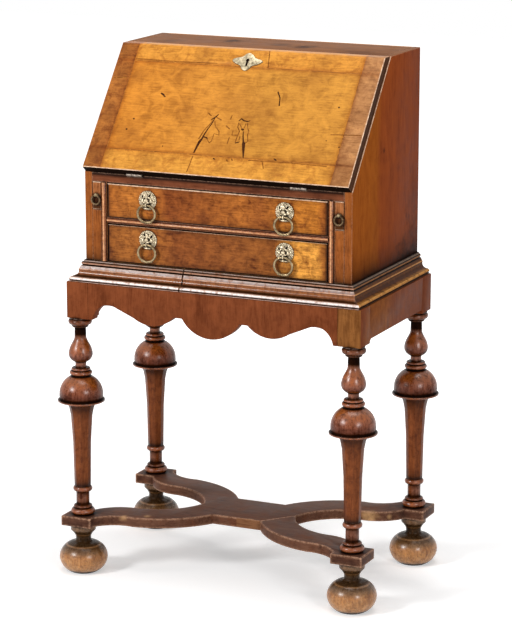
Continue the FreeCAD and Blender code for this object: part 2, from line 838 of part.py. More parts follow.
def drawer(name, low_z, high_z, pull_z):
    """The boards of one large drawer: front, box and bottom."""
    side_low, side_high = f"{low_z} + running_play", f"{high_z} - drawer_top_play - drawer_side_drop"
    front_inner = "case_front + drawer_front_board"
    back_outer = "case_front + drawer_length"
    blank = block(name + "_front_blank", ("-drawer_half", "case_front", side_low),
                  ("drawer_half", front_inner, f"{high_z} - drawer_top_play"))
    holes = [rod(f"{name}_hole_{side_name(sx)}", "mask_post_radius + pin_play", "3 * drawer_front_board",
                 (f"{sx} * pull_spread / 2", "case_front", pull_z), "Y") for sx in (-1, 1)]
    node(name + "_front", cut(name + "_front", blank, holes))
    boards = []
    for sx in (-1, 1):
        outer, inner = f"{sx} * drawer_half", f"{sx} * (drawer_half - drawer_side_board)"
        low_x, high_x = (inner, outer) if sx > 0 else (outer, inner)
        boards.append(block(f"{name}_side_{side_name(sx)}", (low_x, front_inner, side_low),
                            (high_x, back_outer, side_high)))
    inside = "drawer_half - drawer_side_board"
    bottom_top = f"{side_low} + drawer_bottom_rise + drawer_bottom_board"
    boards.append(block(name + "_back", (f"-({inside})", f"{back_outer} - drawer_side_board", bottom_top),
                        (inside, back_outer, side_high)))
    node(name + "_box", group(name + "_box", boards))
    bottom = block(name + "_bottom", (f"-({inside})", front_inner, f"{side_low} + drawer_bottom_rise"),
                   (inside, back_outer, bottom_top))
    node(name + "_bottom", bottom)


def mask():
    """Domed pull with an open mouth, a jaw that holds the ring, its post and its nut, facing +Z with +Y up."""
    dome = turned("mask_dome", [
        ("0", "0"),
        ("mask_radius", "0"),
        ("mask_radius", "mask_rim"),
        ("0.2 * mask_radius", "mask_height", SOFT_RATIO),
        ("0", "mask_height"),
    ])
    jaw_middle = ("0", "-ring_drop", "ring_standoff")
    mouth = block("mask_mouth", ("-mouth_width / 2", "-ring_drop - mouth_depth", "ring_standoff - jaw_bore"),
                  ("mouth_width / 2", "-ring_drop + jaw_bore", "2 * mask_height"))
    face = cut("mask_face", dome, [mouth])
    neck = block("mask_jaw_neck", ("-jaw_length / 2", "-ring_drop - jaw_bore", "mask_rim"),
                 ("jaw_length / 2", "-ring_drop + jaw_bore", "ring_standoff"))
    jaw = rod("mask_jaw", "jaw_bore + jaw_wall", "jaw_length", jaw_middle, "X")
    post_length = "drawer_front_board + 2 * nut_height"
    post = rod("mask_post", "mask_post_radius", post_length, ("0", "0", f"-({post_length}) / 2"), "Z")
    bore = rod("mask_jaw_bore", "jaw_bore", "2 * jaw_length", jaw_middle, "X")
    solid = cut("mask", join("mask_blank", [face, neck, jaw, post]), [bore])
    nut_blank = rod("mask_nut_blank", "nut_radius", "nut_height",
                    ("0", "0", "-drawer_front_board - nut_height / 2"), "Z")
    nut = cut("mask_nut", nut_blank, [post])
    return [solid, nut]


def masks(name, pieces, height):
    pair = []
    for sx in (-1, 1):
        pull = group(f"{name}_{side_name(sx)}", pieces)
        pair.append(place(pull, (f"{sx} * pull_spread / 2", "case_front", height), X_AXIS, QUARTER_TURN))
    return group(name + "_pair", pair)


def hanging_ring(name, radius, wire, x, y, pivot_z):
    """Ring that hangs from its pivot in an upright plane."""
    piece = doc.addObject("Part::Torus", name)
    bind(piece, "Radius1", radius)
    bind(piece, "Radius2", wire)
    return place(piece, (x, y, f"{pivot_z} - {radius}"), X_AXIS, QUARTER_TURN)


def loper(sx):
    """Pull-out support of the fall, drilled for its pull."""
    low_x = f"{sx} * loper_middle - loper_width / 2"
    bar = block(f"loper_{side_name(sx)}_bar", (low_x, "case_front", "loper_bottom"),
                (f"{low_x} + loper_width", "case_front + loper_length", "loper_top"))
    hole = rod(f"loper_{side_name(sx)}_hole", "stud_pin_radius + pin_play", "2 * stud_pin_length",
               (f"{sx} * loper_middle", "case_front", "loper_pull"), "Y")
    return cut(f"loper_{side_name(sx)}_drilled", bar, [hole])


def loper_stud():
    """Turned stud with an eye for the loper's ring, facing +Z."""
    knob = turned("stud_knob", [
        ("0", "-stud_pin_length"),
        ("stud_pin_radius", "-stud_pin_length"),
        ("stud_pin_radius", "0"),
        ("stud_radius", "0"),
        ("0.6 * stud_radius", "stud_length", SOFT_RATIO),
        ("0", "stud_length"),
    ])
    eye_middle = ("0", "0", "stud_length + loper_jaw_bore")
    eye_radius = "loper_jaw_bore + 0.6 * loper_ring_wire_radius"
    eye = rod("stud_eye", eye_radius, "loper_jaw_length", eye_middle, "X")
    bore = rod("stud_bore", "loper_jaw_bore", "2 * loper_jaw_length", eye_middle, "X")
    return cut("stud", join("stud_blank", [knob, eye]), [bore])


def fall_blank():
    """The fall along its slope: square heel, top edge level with the top of the case."""
    taper = "tan(slope_angle)"
    corners = [
        ("fall_heel", "fall_play"),
        (f"slope_length - fall_play / {taper}", "fall_play"),
        (f"slope_length - fall_outside / {taper}", "fall_outside"),
        ("fall_heel", "fall_outside"),
    ]
    return board("fall_blank", "YZ", corners, "case_width - 2 * fall_inset")


def hinge_axis_rods(name, radius, length):
    return [rod(f"{name}_{side_name(sx)}", radius, length, (f"{sx} * hinge_spacing / 2", "0", "0"), "X")
            for sx in (-1, 1)]


def at_hinge_axis(name, pieces):
    return place(group(name, pieces), ("0", "case_front", "bed_level"))


def hinge_leaf(name, sx, low, high, own_knuckles, bore):
    """A leaf with its knuckles on the X axis, its plate between two heights along +Y."""
    middle = f"{sx} * hinge_spacing / 2"
    plate = block(f"{name}_plate", (f"{middle} - hinge_length / 2", "knuckle_room", low),
                  (f"{middle} + hinge_length / 2", "leaf_width", high))
    pieces = [plate]
    for place_number in own_knuckles:
        start = f"{middle} - hinge_length / 2 + {place_number} * (knuckle_length + knuckle_play)"
        centre = (f"{start} + knuckle_length / 2", "0", "0")
        pieces.append(rod(f"{name}_knuckle_{place_number}", "knuckle_radius", "knuckle_length", centre, "X"))
        pieces.append(block(f"{name}_web_{place_number}", (start, "0", low),
                            (f"{start} + knuckle_length", "knuckle_room", high)))
    hole = rod(f"{name}_bore", bore, "2 * hinge_length", (middle, "0", "0"), "X")
    screws = []
    holes = [hole]
    for end in (-1, 1):
        spot = (f"{middle} + {end} * screw_spacing / 2", "(knuckle_room + leaf_width) / 2")
        sinks = "+" if low == "fall_play" else "-"
        start = low if low == "fall_play" else high
        centre = (*spot, f"{start} {sinks} screw_length / 2")
        screws.append(rod(f"{name}_screw_{side_name(end)}", "screw_radius", "screw_length", centre, "Z"))
    leaf = cut(name, join(name + "_blank", pieces), holes + screws)
    return [leaf] + screws


def lock_case():
    """Lock let into the fall's inner face, with a slot for the staple and a channel for the bolt."""
    shell = block("lock_shell", ("-lock_width / 2", "lock_top - lock_height", "fall_play"),
                  ("lock_width / 2", "lock_top", "lock_inside"))
    slot_half = "staple_plate / 2 + 2 * bolt_play"
    slot = block("lock_slot", (f"-({slot_half})", "bolt_middle - staple_width / 2 - bolt_play", "-fall_play"),
                 (slot_half, "bolt_middle + staple_width / 2 + bolt_play", "lock_inside"))
    reach = "bolt_size / 2 + bolt_play"
    channel_start = "-bolt_size - bolt_length - bolt_play"
    channel_end = "bolt_throw - bolt_size + bolt_play"
    channel = block("lock_channel", (channel_start, f"bolt_middle - ({reach})", f"bolt_depth - ({reach})"),
                    (channel_end, f"bolt_middle + {reach}", f"bolt_depth + {reach}"))
    key = rod("lock_key_hole", "keyhole_radius", "4 * lock_case_depth", ("0", "key_height", "0"), "Z")
    return cut("lock_body", shell, [slot, channel, key])


def lock_bolt():
    """Bolt at rest beside the staple."""
    reach = "bolt_size / 2"
    return block("lock_bar", ("-bolt_size - bolt_length", f"bolt_middle - {reach}", f"bolt_depth - {reach}"),
                 ("-bolt_size", f"bolt_middle + {reach}", f"bolt_depth + {reach}"))


def staple():
    """Flange let into the top's bevel, with a staple that stands into the lock and an eye for the bolt."""
    half = "staple_plate / 2"
    low = "bolt_middle - staple_width / 2"
    flange = block("staple_flange", ("-flange_width / 2", low, "-flange_plate"),
                   ("flange_width / 2", f"{low} + flange_height", "0"))
    plate = block("staple_stem", (f"-{half}", low, "-flange_plate"),
                  (half, f"{low} + staple_width", "bolt_depth + bolt_size"))
    reach = "bolt_size / 2 + 1.2 * bolt_play"
    eye = block("staple_eye", ("-staple_plate", f"bolt_middle - ({reach})", f"bolt_depth - ({reach})"),
                ("staple_plate", f"bolt_middle + {reach}", f"bolt_depth + {reach}"))
    return cut("staple", join("staple_blank", [flange, plate]), [eye])


def key_tools(name):
    """Round eye and slot of the keyhole, through the fall and its escutcheon."""
    eye = rod(name + "_eye", "keyhole_radius", "6 * fall_board", ("0", "key_height", "0"), "Z")
    slot = block(name + "_slot", ("-key_slot_width / 2", "key_height - key_slot_length", "-2 * fall_board"),
                 ("key_slot_width / 2", "key_height", "2 * fall_board"))
    return [eye, slot]


def escutcheon():
    """Thin plate with four points and hollowed sides round the keyhole."""
    half_w, half_h = "escutcheon_width / 2", "escutcheon_height / 2"
    quarter = [(1.0, 0.0, 0), (0.62, 0.36, -SLIGHT_RATIO), (0.36, 0.44, 0), (0.26, 0.78, -SOFT_RATIO)]
    points = [(a, b, bend) for a, b, bend in quarter] + [(0.0, 1.0, SOFT_RATIO)]
    spots = list(points)
    return_bends = [SOFT_RATIO, -SOFT_RATIO, 0, -SLIGHT_RATIO]
    spots += [(-a, b, bend) for (a, b, _), bend in zip(quarter[::-1], return_bends)]
    spots += [(-a, -b, bend) for a, b, bend in points[1:]]
    spots += [(a, -b, bend) for (a, b, _), bend in zip(quarter[:0:-1], return_bends)]
    corners = [(f"{a} * {half_w}", f"key_height + {b} * {half_h}", bend) for a, b, bend in spots]
    corners[0] = (corners[0][0], corners[0][1], -SLIGHT_RATIO)
    plate = board("escutcheon_blank", "XY", corners, "escutcheon_plate",
                  ("0", "0", "fall_outside + escutcheon_plate / 2"))
    return cut("escutcheon_plate_cut", plate, key_tools("escutcheon_key"))


def small_bay_left(number_from_left):
    return f"-inside_half + {number_from_left} * (small_drawer_bay + small_divider)"


def small_drawer(index):
    """A small drawer of the gallery: front and box, drilled for its knob."""
    name = f"small_drawer_{index + 1}"
    left = f"{small_bay_left(index)} + small_play"
    right = f"{small_bay_left(index)} + small_drawer_bay - small_play"
    low, high = "bed_level + running_play", "shelf_under - small_play"
    front_inner = "gallery_front + small_front_board"
    back_outer = "back_inside - small_drawer_back_gap"
    blank = block(name + "_front_blank", (left, "gallery_front", low), (right, front_inner, high))
    middle_x = f"{small_bay_left(index)} + small_drawer_bay / 2"
    middle = (middle_x, "gallery_front", "(bed_level + shelf_under) / 2")
    hole = rod(name + "_hole", "knob_pin_radius", "3 * small_front_board", middle, "Y")
    boards = [cut(name + "_front", blank, [hole])]
    inner = (f"{left} + small_side_board", f"{right} - small_side_board")
    floor = f"{low} + small_bottom_board"
    boards.append(block(name + "_left", (left, front_inner, low), (inner[0], back_outer, high)))
    boards.append(block(name + "_right", (inner[1], front_inner, low), (right, back_outer, high)))
    boards.append(block(name + "_bottom", (inner[0], front_inner, low), (inner[1], back_outer, floor)))
    boards.append(block(name + "_back", (inner[0], f"{back_outer} - small_side_board", floor),
                        (inner[1], back_outer, high)))
    node(name, group(name, boards))
    knob = place(group(name + "_knob", [knob_turning]), middle, X_AXIS, QUARTER_TURN)
    node(name + "_knob", knob)


def knob():
    """Small turned knob with its pin, facing +Z."""
    return turned("knob_turning", [
        ("0", "-small_front_board"),
        ("knob_pin_radius", "-small_front_board"),
        ("knob_pin_radius", "0"),
        ("0.8 * knob_radius", "0"),
        ("knob_neck_radius", "0.35 * knob_length", -QUARTER_RATIO),
        ("knob_radius", "0.7 * knob_length", QUARTER_RATIO),
        ("0.3 * knob_radius", "knob_length", QUARTER_RATIO),
        ("0", "knob_length"),
    ])


# stand
leg_blank = leg()
foot_blank = foot()
feet = []
for sy in (-1, 1):
    for sx in (-1, 1):
        spot = f"{depth_name(sy)}_{side_name(sx)}"
        foot_at = place(group("foot_" + spot, [foot_blank]), (f"{sx} * leg_x", f"{sy} * leg_y", "0"))
        feet.append(foot_at)
        leg_at = place(group("leg_" + spot, [leg_blank]), (f"{sx} * leg_x", f"{sy} * leg_y", "stretcher_top"))
        node("leg_" + spot, leg_at)
node("bun_feet", group("bun_feet", feet))
node("stretcher_centre", stretcher_centre())
node("stretcher_arms", group("stretcher_arms", [stretcher_arm(sx, sy) for sy in (-1, 1) for sx in (-1, 1)]))
node("corner_posts", group("corner_posts", [corner_post(sx, sy) for sy in (-1, 1) for sx in (-1, 1)]))
node("apron_front", front_apron())
node("apron_back", back_apron())
node("side_aprons", group("side_aprons", [side_apron(sx) for sx in (-1, 1)]))
node("case_bearers", group("case_bearers", [bearer(sx) for sx in (-1, 1)]))
node("stand_moulding", group("stand_moulding", stand_moulding()))

# case
for sx in (-1, 1):
    node(f"case_side_{side_name(sx)}", case_side(sx))
staple_solid = staple()
node("case_top", case_top())
node("case_bottom", block("case_bottom", ("-inside_half", "case_front", "floor_level - bottom_board"),
                          ("inside_half", "back_inside", "floor_level")))
node("case_back", block("case_back", ("-inside_half", "back_inside", "stand_top"),
                        ("inside_half", "back_face", "case_top_level")))
bed_corner = ("-inside_half", "case_front + front_rail_depth", "bed_level - bed_board")
node("writing_bed", block("writing_bed", bed_corner, ("inside_half", "back_inside", "bed_level")))
node("drawer_divider", block("drawer_divider", ("-partition_inside", "case_front", "divider_under"),
                             ("partition_inside", "case_front + front_rail_depth", "divider_top")))
node("drawer_runners", group("drawer_runners", [runner(sx) for sx in (-1, 1)]))
node("loper_partitions", group("loper_partitions", [partition(sx) for sx in (-1, 1)]))
node("loper_guides", group("loper_guides", loper_guides(-1) + loper_guides(1)))
node("front_beads", group("front_beads", front_beads()))
node("case_moulding", group("case_moulding", case_moulding()))

# gallery behind the fall
node("pigeonhole_shelf", block("pigeonhole_shelf", ("-inside_half", "gallery_front", "shelf_under"),
                               ("inside_half", "back_inside", "shelf_top")))
uprights = []
for index in range(1, SMALL_DRAWERS):
    right = small_bay_left(index)
    uprights.append(block(f"small_divider_{index}",
                          (f"{right} - small_divider", "gallery_front", "bed_level"),
                          (right, "back_inside", "shelf_under")))
for index in range(1, PIGEONHOLES):
    right = f"-inside_half + {index} * (pigeonhole + pigeon_board)"
    uprights.append(block(f"pigeon_divider_{index}",
                          (f"{right} - pigeon_board", "gallery_front + pigeon_setback", "shelf_top"),
                          (right, "back_inside", "top_under")))
node("interior_partitions", group("interior_partitions", uprights))
knob_turning = knob()
for index in range(SMALL_DRAWERS):
    small_drawer(index)

# fall, hinges and lock
OUTER_KNUCKLES = (0, 2)
MIDDLE_KNUCKLE = (1,)
case_leaves = []
fall_leaves = []
for sx in (-1, 1):
    case_leaves += hinge_leaf(f"case_leaf_{side_name(sx)}", sx, "-leaf_board", "0", OUTER_KNUCKLES,
                              "hinge_pin_radius")
    fall_leaves += hinge_leaf(f"fall_leaf_{side_name(sx)}", sx, "fall_play", "leaf_top", MIDDLE_KNUCKLE,
                              "hinge_pin_radius + hinge_pin_play")
knuckle_room = hinge_axis_rods("knuckle_room", "knuckle_room", "hinge_length + 2 * knuckle_play")
node("hinge_case_leaves", at_hinge_axis("hinge_case_leaves", case_leaves))
hinge_pins = hinge_axis_rods("hinge_pin", "hinge_pin_radius", "hinge_length")
node("hinge_pins", at_hinge_axis("hinge_pins", hinge_pins))
rail_blank = block("hinge_rail_blank", ("-inside_half", "case_front", "rail_under"),
                   ("inside_half", "case_front + front_rail_depth", "bed_level"))
rail_mortises = at_hinge_axis("rail_mortises", case_leaves + knuckle_room)
node("hinge_rail", cut("hinge_rail", rail_blank, [rail_mortises]))
lock_body = lock_case()
fall_tools = fall_leaves + knuckle_room + key_tools("fall_key")
lock_recess = block("lock_recess", ("-lock_width / 2", "lock_top - lock_height", "-fall_play"),
                    ("lock_width / 2", "lock_top", "lock_inside"))
fall_cut = cut("fall_cut", fall_blank(), fall_tools + [lock_recess])
node("fall_board", on_slope("fall_board", [fall_cut]))
node("hinge_fall_leaves", on_slope("hinge_fall_leaves", fall_leaves))
node("escutcheon", on_slope("escutcheon", [escutcheon()]))
node("lock_case", on_slope("lock_case", [lock_body]))
node("lock_bolt", on_slope("lock_bolt", [lock_bolt()]))
node("lock_staple", on_slope("lock_staple", [staple_solid]))

# drawers, lopers and their pulls
drawer("upper_drawer", "divider_top", "rail_under", "upper_pull")
drawer("lower_drawer", "floor_level", "divider_under", "lower_pull")
mask_pieces = mask()
for name, height in (("upper", "upper_pull"), ("lower", "lower_pull")):
    node(f"{name}_drawer_masks", masks(f"{name}_mask", mask_pieces, height))
    for sx in (-1, 1):
        label = f"{name}_ring_{side_name(sx)}"
        node(label, hanging_ring(label, "ring_radius", "ring_wire_radius", f"{sx} * pull_spread / 2",
                                 "case_front - ring_standoff", f"{height} - ring_drop"))
stud = loper_stud()
for sx in (-1, 1):
    side = side_name(sx)
    node(f"loper_{side}", loper(sx))
    stud_at = place(group(f"loper_stud_{side}", [stud]), (f"{sx} * loper_middle", "case_front", "loper_pull"),
                    X_AXIS, QUARTER_TURN)
    node(f"loper_stud_{side}", stud_at)
    hung = hanging_ring(f"loper_ring_{side}", "loper_ring_radius", "loper_ring_wire_radius",
                        f"{sx} * loper_middle", "case_front - stud_length - loper_jaw_bore", "loper_pull")
    node(f"loper_ring_{side}", hung)

doc.recompute()
for piece in doc.Objects:
    if {"Invalid", "Error"} & set(piece.State):
        raise RuntimeError(f"{piece.Label} did not build")
for piece in sub_parts:
    if piece.Shape.isNull() or not piece.Shape.isValid() or not piece.Shape.Solids:
        raise RuntimeError(f"{piece.Label} has no valid solid")

os.makedirs("parts", exist_ok=True)
for piece in sub_parts:
    piece.Shape.exportStep(f"parts/{piece.Label}.step")
print(len(sub_parts), "sub-parts")
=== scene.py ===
import json
import math

import bmesh
import bpy
from bpy.props import FloatProperty, FloatVectorProperty, PointerProperty
from mathutils import Euler, Matrix, Vector

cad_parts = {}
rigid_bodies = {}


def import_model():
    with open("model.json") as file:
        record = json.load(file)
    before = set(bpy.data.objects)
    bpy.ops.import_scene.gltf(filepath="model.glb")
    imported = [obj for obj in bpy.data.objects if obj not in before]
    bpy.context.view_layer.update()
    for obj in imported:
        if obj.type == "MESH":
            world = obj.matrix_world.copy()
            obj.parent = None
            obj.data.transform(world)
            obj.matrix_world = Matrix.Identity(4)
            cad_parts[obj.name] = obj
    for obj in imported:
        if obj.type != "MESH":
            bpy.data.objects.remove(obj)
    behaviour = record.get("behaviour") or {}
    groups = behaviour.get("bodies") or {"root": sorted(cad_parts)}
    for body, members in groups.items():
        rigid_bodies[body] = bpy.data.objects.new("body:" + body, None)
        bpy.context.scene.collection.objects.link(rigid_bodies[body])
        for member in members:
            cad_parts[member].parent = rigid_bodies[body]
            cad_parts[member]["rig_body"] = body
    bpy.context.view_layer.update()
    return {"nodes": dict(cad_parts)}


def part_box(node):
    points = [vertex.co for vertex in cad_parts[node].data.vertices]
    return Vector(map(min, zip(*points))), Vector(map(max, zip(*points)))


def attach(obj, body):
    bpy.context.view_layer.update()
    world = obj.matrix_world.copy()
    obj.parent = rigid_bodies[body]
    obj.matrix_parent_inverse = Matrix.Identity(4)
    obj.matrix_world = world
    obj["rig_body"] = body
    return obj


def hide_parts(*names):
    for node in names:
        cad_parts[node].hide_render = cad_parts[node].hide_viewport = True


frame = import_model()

# Walnut slant-front bureau on a turned stand. Metres, +X right, +Y back, +Z up, origin on the floor.

bl_info = {
    "name": "Walnut Bureau",
    "version": (1, 0, 0),
    "blender": (4, 5, 0),
    "location": "View3D > Sidebar > Bureau",
    "description": "Dresses the construction model of a slant-front bureau in walnut, oak and brass",
    "category": "Object",
}

# Places that several pieces and finishes share

MM = 0.001
SIDES = {"left": -1, "right": 1}
ACROSS, INWARD, UPWARD = (1, 0, 0), (0, 1, 0), (0, 0, 1)
# the front of the case, the level of the writing bed, and the slope that rises from there
CASE_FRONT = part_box("case_side_left")[0].y
BED_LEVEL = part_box("writing_bed")[1].z
SLOPE_ANGLE = math.radians(51.5)
ON_SLOPE = Matrix.Translation((0, CASE_FRONT, BED_LEVEL)) @ Matrix.Rotation(SLOPE_ANGLE, 4, "X")
UP_SLOPE = (0, math.cos(SLOPE_ANGLE), math.sin(SLOPE_ANGLE))
SLOPE_FOOT = CASE_FRONT * UP_SLOPE[1] + BED_LEVEL * UP_SLOPE[2]
FALL_FACE = max((ON_SLOPE.inverted() @ v.co).z for v in frame["nodes"]["fall_board"].data.vertices)
# the fall's veneered field: half its width, and its foot and head up the slope
FIELD_X = 0.2305
FIELD_LOW = 0.0435
FIELD_HIGH = 0.234
# half the width of a drawer's front, and the middles of the masks on it
DRAWER_HALF = 0.223
MASK_HEIGHTS = {"upper": 0.732, "lower": 0.6575}
PULL_X = 0.1385
# radius that the masks are drawn at, in millimetres
MASK_RADIUS = 18.3
# points nearer than this are one point
MERGE = 2e-6


# Colours and nodes

PLACE, MAPPING, NOISE = "ShaderNodeTexCoord", "ShaderNodeMapping", "ShaderNodeTexNoise"
RAMP, RANGE, MIX = "ShaderNodeValToRGB", "ShaderNodeMapRange", "ShaderNodeMix"
MATH, VECTOR_MATH, OCCLUSION = "ShaderNodeMath", "ShaderNodeVectorMath", "ShaderNodeAmbientOcclusion"


def linear(hex_colour):
    """An sRGB hex value as linear RGBA."""
    parts = [int(hex_colour[i:i + 2], 16) / 255 for i in (1, 3, 5)]
    return tuple(p / 12.92 if p <= 0.04045 else ((p + 0.055) / 1.055) ** 2.4 for p in parts) + (1.0,)


def add(tree, kind, inputs=None, stops=None, **settings):
    """Adds a node: its settings, its ramp stops, and a value or a link for each named input."""
    made = tree.nodes.new(kind)
    for name, value in settings.items():
        setattr(made, name, value)
    if stops:
        ramp = made.color_ramp.elements
        while len(ramp) < len(stops):
            ramp.new(0.5)
        for element, (position, colour) in zip(ramp, stops):
            element.position = position
            element.color = colour
    for name, value in (inputs or {}).items():
        if isinstance(value, bpy.types.NodeSocket):
            tree.links.new(value, made.inputs[name])
        else:
            made.inputs[name].default_value = value
    return made


def blank(name):
    """A new material with only its output and its shader."""
    material = bpy.data.materials.new(name)
    material.use_nodes = True
    tree = material.node_tree
    tree.nodes.clear()
    shader = add(tree, "ShaderNodeBsdfPrincipled")
    add(tree, "ShaderNodeOutputMaterial", {"Surface": shader.outputs[0]})
    return material, tree, shader


def tint(colour, share):
    """A colour made darker or lighter by a share for each channel."""
    return tuple(min(1.0, c * s) for c, s in zip(colour, share)) + (1.0,)


# How wood looks

# turns that lay a pattern's length along X, along Y, along Z or up the slope of the fall
GRAIN_TURNS = {
    "X": (0, 0, 0),
    "Y": (0, 0, -math.pi / 2),
    "Z": (0, math.pi / 2, 0),
    "U": (SLOPE_ANGLE, 0, 0),
}
# shares of a timber's colour in its darkest grain, its lightest grain and its pores
DARK_GRAIN = (0.4, 0.31, 0.25)
LIGHT_GRAIN = (1.36, 1.42, 1.42)
PORE_TINT = (0.7, 0.65, 0.6)
# noise levels of dark, middle and light grain, and the part that fibres have in it
GRAIN_LEVELS = (0.37, 0.5, 0.61)
FIBRE_SHARE = 0.28
# lengths and widths in millimetres; real fibres and pores are well under a millimetre wide, and are
# drawn over two millimetres wide so that they show
FIGURE_LENGTH = 110
FIBRE_LENGTH, FIBRE_WIDTH = 26, 2.4
PORE_LENGTH, PORE_WIDTH = 8, 2.2
NICK = 5
# noise levels between which pores, nicks and gloss come in
PORE_LEVELS = (0.58, 0.72)
PORE_STRENGTH = 0.6
NICK_LEVELS = (0.36, 0.58)
UNNICKED_WEAR = 0.15
CLOUD_LEVELS = (0.35, 0.65)
# shares of open sky round a point, from none of the effect to all of it
ARRIS_SKY = (0.92, 0.5)
HOLLOW_SKY = (0.88, 0.45)
# above this shine, dark wax stays dull: brightness from dull to shining, and what shine dull wax keeps
EVEN_SHINE = 0.15
WAX_BRIGHTNESS = (0.012, 0.08)
DULL_SHARE = 0.02
WAX_IOR = 1.45
# relief: the fibres' part in it, its strength and its depth
FIBRE_RELIEF = 0.25
RELIEF_STRENGTH = 0.3
RELIEF_DEPTH = 0.7 * MM


def per_mm(along, across):
    """Mapping scale for a pattern that is so many millimetres long and wide."""
    return 1 / (along * MM), 1 / (across * MM), 1 / (across * MM)


def wood(name, colour, grain="X", figure=16, mottle=40, cloudy=0.5, spread=1.0, wear=0.5, reach=2.6,
         grime_and_shade=0.9, hollow=8, gloss=(0.3, 0.45), shine=0.2, seed=0.0, paint=()):
    """Wax-polished timber: streaky figure, cloudy age, dark pores, pale rubbed arrises, and dirt with
    painted shade darkening its hollows and the gaps between pieces.
    """
    colours = bpy.context.scene.bureau_colours
    material, tree, shader = blank(name)
    where = add(tree, PLACE).outputs["Object"]
    # each seed shows another part of the same pattern
    turned = add(tree, MAPPING, {
        "Vector": where, "Rotation": GRAIN_TURNS[grain],
        "Location": (seed, 1.7 * seed, 0.6 * seed)}).outputs[0]
    stretched = []
    for length, width, noise in (
        (FIGURE_LENGTH, figure, {"Detail": 5.0, "Roughness": 0.6, "Distortion": 1.4}),
        (FIBRE_LENGTH, FIBRE_WIDTH, {"Detail": 2.0, "Roughness": 0.6}),
        (PORE_LENGTH, PORE_WIDTH, {"Detail": 2.0, "Roughness": 0.7}),
    ):
        along = add(tree, MAPPING, {"Vector": turned, "Scale": per_mm(length, width)}).outputs[0]
        stretched.append(add(tree, NOISE, {"Vector": along, "Scale": 1.0, **noise}).outputs[0])
    streak, fibre, pore = stretched
    cloud = add(tree, NOISE, {
        "Vector": turned, "Scale": 1 / (mottle * MM), "Detail": 6.0, "Roughness": 0.65,
        "Distortion": 0.6}).outputs[0]
    both = add(tree, MIX, {0: cloudy, 2: streak, 3: cloud}).outputs[0]
    tone = add(tree, MIX, {0: FIBRE_SHARE, 2: both, 3: fibre}).outputs[0]
    dark = tint(colour, [1 - spread * (1 - s) for s in DARK_GRAIN])
    light = tint(colour, [1 + spread * (s - 1) for s in LIGHT_GRAIN])
    shade = add(tree, RAMP, {"Fac": tone}, list(zip(GRAIN_LEVELS, (dark, colour, light)))).outputs[0]
    for layer in paint:
        shade = layer(tree, where, shade)
    pores = add(tree, RANGE, {
        "Value": pore, "From Min": PORE_LEVELS[0], "From Max": PORE_LEVELS[1],
        "To Max": PORE_STRENGTH * min(1.0, spread)}).outputs[0]
    edge = add(tree, OCCLUSION, {"Distance": reach * MM}, inside=True, only_local=True, samples=6)
    worn = add(tree, RANGE, {
        "Value": edge.outputs["AO"], "From Min": ARRIS_SKY[0], "From Max": ARRIS_SKY[1],
        "To Max": wear}).outputs[0]
    nick = add(tree, NOISE, {"Vector": where, "Scale": 1 / (NICK * MM), "Detail": 3.0}).outputs[0]
    patchy = add(tree, RANGE, {
        "Value": nick, "From Min": NICK_LEVELS[0], "From Max": NICK_LEVELS[1],
        "To Min": UNNICKED_WEAR, "To Max": 1.0}).outputs[0]
    rubbed = add(tree, MATH, {0: worn, 1: patchy}, operation="MULTIPLY", use_clamp=True).outputs[0]
    # dirt and painted shade: darker where other surfaces close in round a point, in hollows and in the gaps
    # between pieces
    deep = add(tree, OCCLUSION, {"Distance": hollow * MM}, samples=8)
    dirt_and_shade = add(tree, RANGE, {
        "Value": deep.outputs["AO"], "From Min": HOLLOW_SKY[0], "From Max": HOLLOW_SKY[1],
        "To Max": grime_and_shade}).outputs[0]
    for share, over in ((pores, tint(dark, PORE_TINT)), (rubbed, (*colours.wear, 1)),
                        (dirt_and_shade, (*colours.grime_and_shade, 1))):
        shade = add(tree, MIX, {0: share, 6: shade, 7: over}, data_type="RGBA").outputs[2]
    rough = add(tree, RANGE, {
        "Value": cloud, "From Min": CLOUD_LEVELS[0], "From Max": CLOUD_LEVELS[1],
        "To Min": gloss[0], "To Max": gloss[1]}).outputs[0]
    shader.inputs["Specular IOR Level"].default_value = shine
    if shine > EVEN_SHINE:
        brightness = add(tree, "ShaderNodeRGBToBW", {"Color": shade}).outputs[0]
        sheen = add(tree, RANGE, {
            "Value": brightness, "From Min": WAX_BRIGHTNESS[0], "From Max": WAX_BRIGHTNESS[1],
            "To Min": DULL_SHARE * shine, "To Max": shine}).outputs[0]
        tree.links.new(sheen, shader.inputs["Specular IOR Level"])
    swell = add(tree, MATH, {0: fibre, 1: FIBRE_RELIEF, 2: cloud}, operation="MULTIPLY_ADD").outputs[0]
    bump = add(tree, "ShaderNodeBump", {
        "Height": swell, "Strength": RELIEF_STRENGTH, "Distance": RELIEF_DEPTH}).outputs[0]
    for socket, value in {"Base Color": shade, "Roughness": rough, "Normal": bump}.items():
        tree.links.new(value, shader.inputs[socket])
    shader.inputs["IOR"].default_value = WAX_IOR
    return material


# Layers painted into wood

# each function but the first gives a layer, which takes a tree, a place and a shade and gives a new shade

def drifting(tree, where, run, blur, fineness):
    """A place along a run, moved to and fro by noise that has so many lumps in a metre."""
    drift = add(tree, NOISE, {"Vector": where, "Scale": fineness, "Detail": 4.0}).outputs[0]
    return add(tree, MATH, {0: drift, 1: blur, 2: run}, operation="MULTIPLY_ADD").outputs[0]


